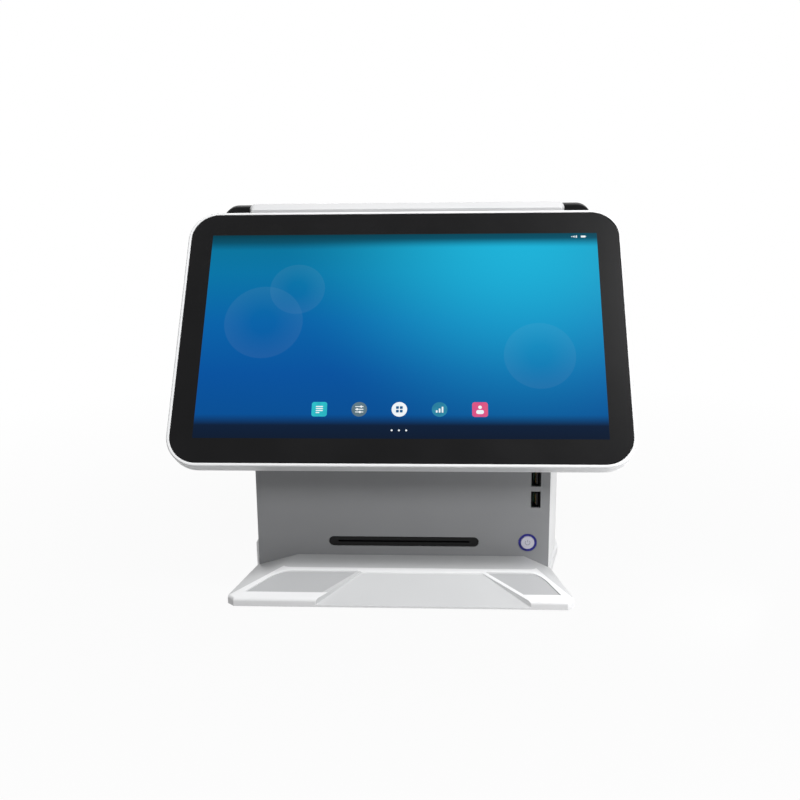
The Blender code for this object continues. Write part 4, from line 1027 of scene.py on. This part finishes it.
@dataclass
class MainDisplay:
    """The touchscreen: black-bordered glass in a thin white rim, over a white casing with a raised back."""

    centre: tuple[float, float, float] = (0.0, -52.0 * MM, 223.6 * MM)
    tilt: float = math.radians(33.65)
    glass: tuple[float, float, float] = (383.0 * MM, 236.0 * MM, 24.0 * MM)
    glass_thickness: float = 2.0 * MM
    picture: tuple[float, float] = (344.2 * MM, 193.6 * MM)
    rim: float = 3.0 * MM
    gap: float = 0.3 * MM
    frame_depth: float = 8.0 * MM
    casing_depth: float = 18.0 * MM
    shoulder: float = 6.0 * MM
    hump: tuple[float, float, float] = (300.0 * MM, 150.0 * MM, 18.0 * MM)
    hump_depth: float = 26.0 * MM
    hump_draft: float = 8.0 * MM
    slot: tuple[float, float, float] = (3.0 * MM, 13.0 * MM, 1.49 * MM)
    slot_rows: tuple[float, float] = (46.0 * MM, 29.0 * MM)
    slot_pitch: float = 9.0 * MM

    def plane(self, behind: float = 0.0) -> Matrix:
        """The glass's plane, or one behind it.

        Args:
            behind: Distance behind the glass's front.

        Returns:
            A matrix from the plane's X, Y and outward Z.
        """
        up = (0.0, math.sin(self.tilt), math.cos(self.tilt))
        return upright(self.centre, (1, 0, 0), up) @ Matrix.Translation((0.0, 0.0, -behind))

    def finish(self) -> Picture:
        """The lit picture."""
        stops = (
            (0.0, "#0A1A30"),
            (0.06, "#0A1E38"),
            (0.11, "#004E94"),
            (0.30, "#00529E"),
            (0.55, "#0062A8"),
            (0.80, "#0074A6"),
            (0.92, "#00749E"),
            (0.96, "#00506A"),
            (1.0, "#003C4C"),
        )
        return Picture(
            "lit_blue_picture", "black_glass", self.centre, (-self.tilt, 0.0, 0.0), self.picture[1], stops,
            "#1FC0E6", (105 * MM, 105 * MM), 225 * MM, 0.78,
            ((-120 * MM, 10 * MM, 34 * MM), (-92 * MM, 42 * MM, 24 * MM), (118 * MM, -22 * MM, 30 * MM)),
        )

    def build(self) -> None:
        """Build the display's pieces."""
        self.cover_glass()
        self.rim_frame()
        self.back_cover()
        Icons(self).build()
        dress(["lcd_panel"], BLACK)
        dress(["display_chassis"], GALVANISED)
        dress(["driver_board"], MASK)

    def cover_glass(self) -> None:
        """The touch glass, whose middle shows the picture."""
        edge = 0.4 * MM
        bm = lit_glass(sheet(*self.glass), self.glass_thickness, edge, self.picture)
        place = self.plane(edge)
        piece("touch_glass_finished", bm, [GLASS, self.finish()], Body.MAIN, ["touch_glass"], place=place)

    def rim_frame(self) -> None:
        """The white ring round the glass."""
        width, tall, radius = self.glass
        outline = sheet(width + 2 * self.rim, tall + 2 * self.rim, radius + self.rim)
        edge, lip = 1.3 * MM, 0.4 * MM
        ledge = 12.0 * MM
        flat = self.rim - self.gap - edge - lip
        pocket = self.glass_thickness + self.gap
        front, back = two_sided(
            outline,
            [*fillet(edge), (flat, 0.0), *fillet(lip, 2, hollow=True), (0.0, lip - pocket), (ledge, 0.0)],
            [(0.0, self.frame_depth - edge), (self.rim - self.gap + ledge, 0.0)],
        )
        bottom = climb(outline, front, [(0.0, pocket - self.frame_depth)])
        bmesh.ops.delete(outline, geom=[bottom, back], context="FACES_ONLY")
        bmesh.ops.remove_doubles(outline, verts=outline.verts, dist=1e-6)
        piece("display_rim", outline, [WHITE], Body.MAIN, ["display_frame"], place=self.plane(edge))

    def back_cover(self) -> None:
        """The casing behind the rim, with its raised middle and cooling slots."""
        width, tall, radius = self.glass
        wall = 2.5 * MM
        start = self.frame_depth + self.gap
        bm = sheet(width + 2 * self.rim, tall + 2 * self.rim, radius + self.rim)
        side = self.casing_depth - self.shoulder - start
        _, flat = two_sided(
            bm,
            [(wall, 0.0), (0.0, -self.casing_depth + start + wall + 2.0 * MM)],
            [(0.0, side), *fillet(self.shoulder, 6)],
        )
        (hump,) = inlay(bm, flat, [sheet(*self.hump)])
        rise = self.hump_depth - self.casing_depth
        foot, crown = (0.6 * MM, 0.2 * MM), [(0.5 * MM, 0.45 * MM), (0.5 * MM, 0.25 * MM)]
        top = climb(bm, hump, [foot, (self.hump_draft - 1.6 * MM, rise - 0.9 * MM), *crown])
        slots = []
        for y in self.slot_rows:
            for number in range(-9, 10):
                slots.append(moved(sheet(*self.slot, segments=4), number * self.slot_pitch, y))
        for slot in inlay(bm, top, slots):
            climb(bm, slot, [(0.3 * MM, -0.3 * MM), (0.0, -1.6 * MM)])
        piece("display_casing", bm, [WHITE], Body.MAIN, ["display_back_cover"], place=self.plane(start))


@dataclass
class Icons:
    """Signs on the lit picture: a row of five tiles, page dots below and status marks in the top corner."""

    display: MainDisplay
    size: float = 13.0 * MM
    row: float = -71.0 * MM
    pitch: float = 33.5 * MM
    proud: float = 0.03 * MM

    def plate(self, width: float, tall: float, x: float, y: float, radius: float, layer: int) -> BMesh:
        """A thin lit shape on the glass.

        Args:
            width: Its size across.
            tall: Its size upwards.
            x: Its middle, across.
            y: Its middle, upwards.
            radius: The radius of its corners.
            layer: Its place in the stack, from 1.

        Returns:
            The shape's mesh on the glass's plane.
        """
        bm = sheet(width, tall, min(radius, 0.499 * min(width, tall)), 8)
        two_sided(bm, [(0.0, self.proud * layer)], [(0.0, self.proud)])
        return moved(bm, x, y)

    def signs(self, glyph: Glyph) -> list[tuple[float, float, float, float, float]]:
        """Width, height, place and corner radius of a sign's strokes, in millimetres.

        Args:
            glyph: Which sign.

        Returns:
            One entry for each stroke.
        """
        if glyph is Glyph.RECEIPT:
            return [(6.0, 0.9, 0.0, y, 0.4) for y in (2.4, 0.6, -1.2)] + [(3.2, 0.9, -1.4, -3.0, 0.4)]
        if glyph is Glyph.SLIDERS:
            bars = [(7.0, 0.7, 0.0, y, 0.3) for y in (2.4, 0.0, -2.4)]
            return bars + [(1.9, 1.9, x, y, 0.95) for x, y in ((1.6, 2.4), (-1.8, 0.0), (0.6, -2.4))]
        if glyph is Glyph.SQUARES:
            return [(2.4, 2.4, x, y, 0.5) for x in (-1.6, 1.6) for y in (-1.6, 1.6)]
        if glyph is Glyph.BARS:
            return [(1.4, 2.0 + 1.6 * i, -2.4 + 2.4 * i, -2.8 + 0.8 * i + 1.0, 0.3) for i in range(3)]
        return [(3.0, 3.0, 0.0, 2.0, 1.5), (6.4, 3.6, 0.0, -2.2, 1.7)]

    def build(self) -> None:
        """Build the row, the dots and the status marks."""
        white = Lit("lit_white", "black_glass", "#F4F8FA", "#EAF1F5")
        blue = Lit("lit_deep_blue", "black_glass", "#0D5C8E", "#0A5484")
        tiles = (
            (Glyph.RECEIPT, Lit("lit_teal", "black_glass", "#22BFC9", "#1AB0BE"), white, 2.2),
            (Glyph.SLIDERS, Lit("lit_slate", "black_glass", "#5F7A86", "#566F7B"), white, 6.5),
            (Glyph.SQUARES, white, blue, 6.5),
            (Glyph.BARS, Lit("lit_sea", "black_glass", "#1F86A6", "#1A7A9A"), white, 6.5),
            (Glyph.PERSON, Lit("lit_coral", "black_glass", "#E0577A", "#D64B86"), white, 2.2),
        )
        matrix = self.display.plane()
        for number, (glyph, back, front, radius) in enumerate(tiles):
            x = (number - 2) * self.pitch
            tile = self.plate(self.size, self.size, x, self.row, radius * MM, 1)
            piece(f"tile_{glyph.value}", tile, [back], Body.MAIN, place=matrix)
            strokes = []
            for width, tall, across, up, corner in self.signs(glyph):
                middle = x + across * MM, self.row + up * MM
                strokes.append(self.plate(width * MM, tall * MM, *middle, corner * MM, 2))
            sign = joined(strokes)
            piece(f"sign_{glyph.value}", sign, [front], Body.MAIN, place=matrix)
        # Page dots, then signal bars and a battery, in millimetres.
        marks = [(1.6, 1.6, x, -89.5, 0.8) for x in (-6.0, 0.0, 6.0)]
        marks += [(0.8, 0.9 + 0.5 * i, 150.0 + 1.4 * i, 93.2, 0.2) for i in range(4)]
        marks += [(4.0, 1.9, 160.0, 93.2, 0.4), (0.5, 0.9, 162.4, 93.2, 0.2)]
        whole = joined(self.plate(*(size * MM for size in mark), layer=1) for mark in marks)
        piece("screen_marks", whole, [white], Body.MAIN, place=matrix)


@dataclass
class CustomerDisplay:
    """The second screen, facing the customer: glass in a black frame over a light-grey back cover."""

    axis: tuple[float, float, float] = (0.0, 55.0 * MM, 211.0 * MM)
    tilt: float = math.radians(10.0)
    frame_size: tuple[float, float, float] = (354.0 * MM, 222.0 * MM, 15.0 * MM)
    frame_front: float = 38.1 * MM
    frame_depth: float = 9.8 * MM
    rise: float = 3.3 * MM
    wall: float = 2.5 * MM
    gap: float = 0.3 * MM
    floor: float = 2.0 * MM
    glass_thickness: float = 2.0 * MM
    picture: tuple[float, float] = (332.0 * MM, 198.0 * MM)
    cover: tuple[float, float, float] = (301.0 * MM, 221.0 * MM, 6.0 * MM)
    cover_rise: float = 6.5 * MM
    cover_depth: float = 10.0 * MM
    cover_draft: float = 4.0 * MM

    def plane(self, ahead: float, rise: float) -> Matrix:
        """A plane of the display, facing the customer.

        Args:
            ahead: Its distance from the hinge axis, towards the customer.
            rise: How far its middle lies above the axis.

        Returns:
            A matrix from the plane's X, Y and outward Z.
        """
        up = (0.0, -math.sin(self.tilt), math.cos(self.tilt))
        return upright(self.axis, (-1, 0, 0), up) @ Matrix.Translation((0.0, rise, ahead))

    def finish(self) -> Picture:
        """The idle picture."""
        stops = ((0.0, "#06243F"), (0.45, "#00508F"), (0.8, "#0077AE"), (1.0, "#006A94"))
        centre = self.plane(self.frame_front, self.rise).translation
        return Picture(
            "lit_idle_picture", "black_glass", tuple(centre), (self.tilt, 0.0, 0.0), self.picture[1], stops,
            "#1FB4DC", (-60 * MM, 70 * MM), 230 * MM, 0.75,
            ((70 * MM, -20 * MM, 44 * MM), (30 * MM, 22 * MM, 30 * MM), (-100 * MM, -46 * MM, 26 * MM)),
        )

    def build(self) -> None:
        """Build the display's pieces."""
        self.black_frame()
        self.cover_glass()
        self.back_cover()
        dress(["customer_lcd"], BLACK)

    def black_frame(self) -> None:
        """The black tray that holds the screen, with a softened rim."""
        bm = sheet(*self.frame_size)
        edge, lip = 1.2 * MM, 0.4 * MM
        well = self.frame_depth - self.floor
        two_sided(
            bm,
            [*fillet(edge), (self.wall - edge - lip, 0.0), *fillet(lip, 2, hollow=True), (0.0, lip - well)],
            [(0.0, self.frame_depth - 2 * edge), *fillet(edge)],
        )
        place = self.plane(self.frame_front - edge, self.rise)
        piece("customer_black_frame", bm, [BLACK], Body.CUSTOMER, ["customer_frame"], place=place)

    def cover_glass(self) -> None:
        """The glass over the customer's picture."""
        inset = self.wall + self.gap
        width, tall, radius = self.frame_size
        edge = 0.4 * MM
        outline = sheet(width - 2 * inset, tall - 2 * inset, radius - inset)
        bm = lit_glass(outline, self.glass_thickness, edge, self.picture)
        place = self.plane(self.frame_front - edge, self.rise)
        finishes = [GLASS, self.finish()]
        piece("customer_glass_finished", bm, finishes, Body.CUSTOMER, ["customer_glass"], place=place)

    def back_cover(self) -> None:
        """The light-grey cover towards the operator, tapering to the hinge."""
        bm = sheet(*self.cover, segments=8)
        edge = 1.0 * MM
        back = [(self.cover_draft - edge, self.cover_depth - edge), *fillet(edge)]
        two_sided(bm, [(self.wall, 0.0), (0.0, self.wall - self.cover_depth)], back)
        mouth = self.frame_front - self.frame_depth - self.gap
        place = self.plane(mouth, self.cover_rise)
        piece("customer_grey_cover", bm, [COVER], Body.CUSTOMER, ["customer_back_cover"], place=place)


# The studio


@dataclass(frozen=True)
class Lamp:
    """A softbox aimed at a point."""

    name: str
    place: tuple[float, float, float]
    aim: tuple[float, float, float]
    size: tuple[float, float]
    power: float
    mirrored: bool = True

    def build(self) -> None:
        """Hang the softbox."""
        data = bpy.data.lights.new(self.name, "AREA")
        data.shape = "RECTANGLE"
        data.size, data.size_y = self.size
        data.energy = self.power
        obj = stand(self.name, data)
        obj.location = self.place
        obj.rotation_euler = (Vector(self.aim) - Vector(self.place)).to_track_quat("-Z", "Y").to_euler()
        obj.visible_camera = False
        obj.visible_glossy = self.mirrored


@dataclass
class Studio:
    """White floor and surroundings, soft light mostly from the right, and the camera."""

    camera_place: tuple[float, float, float] = (39.2 * MM, -853.0 * MM, 341.0 * MM)
    yaw: float = math.radians(2.9)
    pitch: float = math.radians(-12.46)
    roll: float = math.radians(-0.53)
    lens: float = 42.31
    sensor: float = 36.0
    ambient: float = 0.06
    floor_size: float = 12.0
    floor_glow: tuple[float, float] = (0.95, 1.0)
    floor_reach: tuple[float, float] = (0.2, 0.9)
    lamps: tuple[Lamp, ...] = (
        Lamp("overhead_strip", (-0.2, -0.55, 1.5), (0.0, -0.1, 0.05), (0.8, 0.12), 6.0, mirrored=False),
        Lamp("right_softbox", (1.1, -0.6, 1.4), (0.05, -0.05, 0.08), (0.4, 0.3), 11.0, mirrored=False),
        Lamp("front_softbox", (0.3, -1.1, 0.8), (0.0, -0.1, 0.05), (0.4, 0.3), 6.0, mirrored=False),
        Lamp("right_card", (0.3, -0.14, 0.06), (0.13, -0.06, 0.06), (0.1, 0.06), 0.16, mirrored=False),
        Lamp("mirrored_card", (0.75, -0.75, 1.6), (0.1, -0.05, 0.25), (0.4, 0.5), 10.0),
        Lamp("rear_softbox", (-0.7, 1.3, 0.9), (0.0, 0.0, 0.15), (0.6, 0.6), 8.0, mirrored=False),
    )

    def build(self) -> None:
        """Set up floor, world, lamps, camera and view."""
        self.world()
        self.floor()
        for lamp in self.lamps:
            lamp.build()
        self.camera()
        bpy.context.scene.view_settings.view_transform = "Standard"

    def seen(self, tree: NodeTree) -> NodeSocket:
        """Whether a ray shows the background: seen by the camera, in a reflection or through glass."""
        path = add(tree, "LightPath", {}).outputs
        shown = path["Is Camera Ray"]
        for ray in ("Is Glossy Ray", "Is Transmission Ray"):
            shown = add(tree, "Math", {0: shown, 1: path[ray]}, operation="MAXIMUM").outputs[0]
        return shown

    def world(self) -> None:
        """Soft grey surroundings that look white."""
        world = bpy.data.worlds.new("studio")
        bpy.context.scene.world = world
        world.use_nodes = True
        tree = world.node_tree
        tree.nodes.clear()
        light = add(tree, "Background", {"Color": linear("#FFFFFF"), "Strength": self.ambient}).outputs[0]
        white = add(tree, "Background", {"Color": linear("#FFFFFF"), "Strength": 1.0}).outputs[0]
        both = add(tree, "MixShader", {0: self.seen(tree), 1: light, 2: white}).outputs[0]
        add(tree, "OutputWorld", {"Surface": both})

    def floor(self) -> None:
        """A white floor that keeps a faint shadow."""
        bm = sheet(self.floor_size, self.floor_size)
        mesh = bpy.data.meshes.new("studio_floor")
        bm.to_mesh(mesh)
        bm.free()
        material, tree, shader, where = blank("white_floor")
        feed(tree, shader, {"Base Color": linear("#989898"), "Roughness": 0.9, "Specular IOR Level": 0.0})
        glow = add(tree, "Emission", {"Color": linear("#FFFFFF"), "Strength": 1.0}).outputs[0]
        away = add(tree, "VectorMath", {0: where}, operation="LENGTH").outputs["Value"]
        (near, far), (low, high) = self.floor_reach, self.floor_glow
        level = add(tree, "MapRange", {"Value": away, 1: near, 2: far, 3: low, 4: high}).outputs[0]
        share = add(tree, "Math", {0: self.seen(tree), 1: level}, operation="MULTIPLY").outputs[0]
        both = add(tree, "MixShader", {0: share, 1: shader.outputs[0], 2: glow}).outputs[0]
        feed(tree, tree.nodes["Material Output"], {"Surface": both})
        mesh.materials.append(material)
        obj = stand("studio_floor", mesh)

    def camera(self) -> None:
        """The photograph's viewpoint."""
        data = bpy.data.cameras.new("camera")
        data.lens = self.lens
        data.sensor_width = self.sensor
        obj = stand("camera", data)
        aim = Euler((math.pi / 2 + self.pitch, 0.0, self.yaw)).to_matrix().to_4x4()
        obj.matrix_world = Matrix.Translation(self.camera_place) @ aim @ Matrix.Rotation(self.roll, 4, "Z")
        bpy.context.scene.camera = obj


def main() -> None:
    """Build the terminal and its studio, and log each piece's face count."""
    logging.basicConfig(level=logging.INFO, format="%(name)s %(message)s")
    Studio().build()
    for part in (WedgeBase(), Pedestal(), Hinges(), MainDisplay(), CustomerDisplay()):
        LOG.info("%s", type(part).__name__)
        part.build()
    bpy.context.view_layer.update()


if __name__ == "__main__":
    main()
